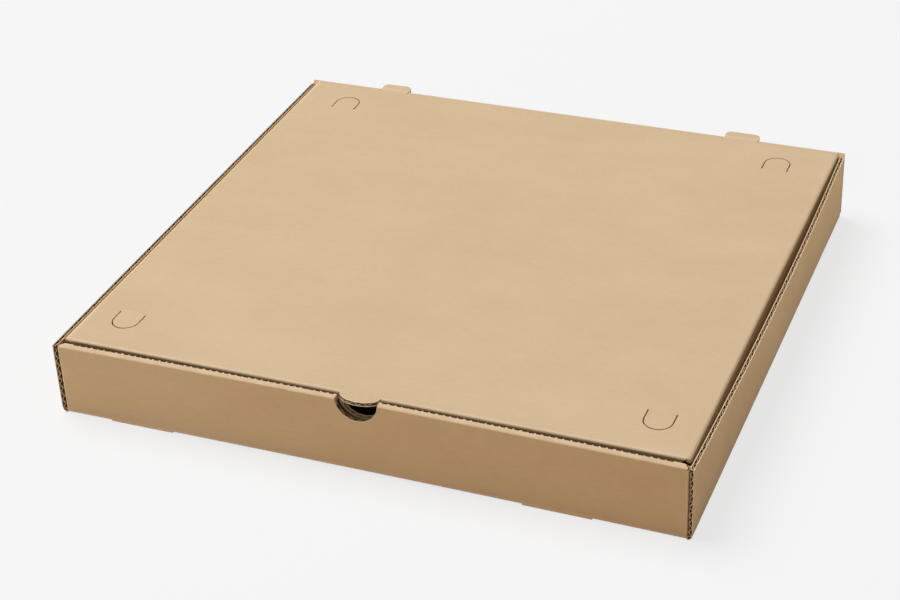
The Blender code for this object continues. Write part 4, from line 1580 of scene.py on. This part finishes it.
@dataclass
class LidSide:
    """The soft side fold of the lid and the flap that hangs inside the side wall."""

    side: int
    panel: LidPanel
    neck: float = 5.33
    path: FoldPath = field(init=False)

    def __post_init__(self) -> None:
        """Lays out the section across the box."""
        self.path = FoldPath((BOX.panel_x, 0.0), 0.0, [(BOX.lid_side_fold, 90.0), (37.7,)])

    def place(self, u: Array, v: Array, h: Array) -> tuple[Array, Array, Array]:
        """Point of the side: its back edge is rounded as the hinge fold is."""
        x, down = self.path.at(v, h)
        out, drop = self.panel.path.at(np.clip(u, 0, self.panel.path.marks[2]), h)
        drop = np.where(u < self.panel.path.marks[1], drop - h, 0.0)
        y = np.where(u < self.panel.path.marks[1] + 3.0, -out, self.panel.zero - u)
        return self.side * x, y, BOX.top - down - drop

    def slant(self, v: Array) -> Array:
        """How far the flap's ends step in below its neck."""
        _, down = self.path.at(v, np.zeros(np.shape(v)))
        return 46.0 * np.clip((down - 7.0) / 36.0, 0, 1)

    def low(self, v: Array) -> Array:
        """Rear end: the hinge on the fold, the corner flaps' clearance below it."""
        u = self.panel.u_at
        hinge = self.panel.path.marks[1] / 2 + 0.1
        return np.where(v < self.neck, hinge, u(203.35) + self.slant(v))

    def high(self, v: Array) -> Array:
        """Front end: on the fold it stops short of the small relief hole, and steps back below it."""
        u = self.panel.u_at
        return np.where(v < self.neck, u(-212.7 + 0.25 * v), u(-208.95) - self.slant(v))

    def leaf(self) -> Leaf:
        """The side as one leaf."""
        end = self.path.marks[2]
        marks, along = self.panel.path.marks, self.panel.path.along
        return Leaf(
            self.place,
            stops(0.0, marks[2], 24.0, along[along < marks[1] + 4]),
            stops(0.0, end, 6.0, self.path.along, self.neck - 0.01, self.neck + 0.01, end - 2.75),
            self.low,
            self.high,
            open_low=lambda v: v > 7.0,
            open_high=lambda v: v > 7.0,
            open_last=True,
            # Painted highlight along the left side fold only.
            wear_and_highlight=lambda u, v: np.clip(1 - v / 1.6, 0, 1) * (self.side < 0),
            seed=71,
        )


@dataclass
class VentFlap:
    """The tongue of one vent, and the liner that runs on across its fold."""

    vent: Vent

    def place(self, u: Array, v: Array, h: Array) -> tuple[Array, Array, Array]:
        """Point of the flat tongue: u runs from its fold to its tip."""
        depth = np.maximum(h, BOARD.recess * (u < self.vent.skin_reach))
        return v, self.vent.root + self.vent.way * u, BOX.top - depth

    def leaf(self) -> Leaf:
        """The tongue, open at its round tip."""
        vent = self.vent
        return Leaf(
            self.place,
            stops(vent.gap, vent.length, 3.0, stepped(vent.skin_reach)),
            stops(vent.x - vent.half, vent.x + vent.half, 1.5, vent.columns(0.0)),
            constant(vent.gap),
            lambda v: vent.reach(v, 0.0),
            open_high=lambda v: np.abs(v - vent.x) < 8.0,
            rim=0.0,
            seed=81,
        )

    def skin(self) -> Patch:
        """A thin strip of liner, flush with the lid, 2.2 mm to each side of the fold."""
        vent = self.vent
        return Leaf(
            lambda u, v, h: (v, vent.root + vent.way * u, BOX.top - h),
            stops(-vent.skin_reach, vent.skin_reach, 0.22),
            stops(vent.x - vent.skin_half, vent.x + vent.skin_half, 2.0),
            constant(-vent.skin_reach),
            constant(vent.skin_reach),
            seed=81,
            thick=BOARD.skin,
            liner=BOARD.skin_liner,
        ).shell()

    def build(self, finish: bpy.types.Material, inner: bpy.types.Material) -> None:
        """Makes the tongue, its fluting and the strip of liner across its fold."""
        name, leaf = self.vent.name, self.leaf()
        tongue = mesh_object(f"{name}_board", [leaf.shell()], finish)
        middle = mesh_object(f"{name}_fluting", leaf.fluting(), inner)
        for item in (tongue, middle):
            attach(item, name)
        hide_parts(name)
        skin = mesh_object(f"{name}_skin", [self.skin()], finish)
        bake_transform(skin)


@dataclass
class Lid:
    """The upper half of the box with its four vents."""

    finish: Kraft
    fluting: Fluting

    def build(self) -> None:
        """Makes the board, its fluting, the hinge skin and the vent flaps."""
        panel = LidPanel()
        leaves = [*panel.leaves(), *(LidSide(side, panel).leaf() for side in (-1, 1))]
        face, inner = self.finish.material(), self.fluting.material()
        board = mesh_object("lid_board", [leaf.shell() for leaf in leaves], face)
        middle = mesh_object("lid_fluting", [p for leaf in leaves for p in leaf.fluting()], inner)
        for item in (board, middle):
            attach(item, "lid")
        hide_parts("lid")
        skin = mesh_object("hinge_skin", panel.skins(), face)
        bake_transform(skin)
        for vent in VENTS:
            VentFlap(vent).build(face, inner)


LID_COLOUR: Colour = (0.659, 0.502, 0.328)
# Painted shade: the same board as the lid, darker and warmer for the tray's shaded walls.
TRAY_SHADED_COLOUR: Colour = (0.572, 0.394, 0.224)


def main() -> None:
    """Builds the stage and the pieces in order and reports each one."""
    logging.basicConfig(level=logging.INFO, format="%(name)s %(message)s")
    Studio().build()
    # The tray's paler tone is darker than the lid's too: painted shade.
    Tray(Kraft("tray_kraft_shaded", TRAY_SHADED_COLOUR, wear_and_highlight_tone=(0.70, 0.53, 0.345))).build()
    Lid(Kraft("lid_kraft", LID_COLOUR), Fluting("lid_fluting")).build()


if __name__ == "__main__":
    main()
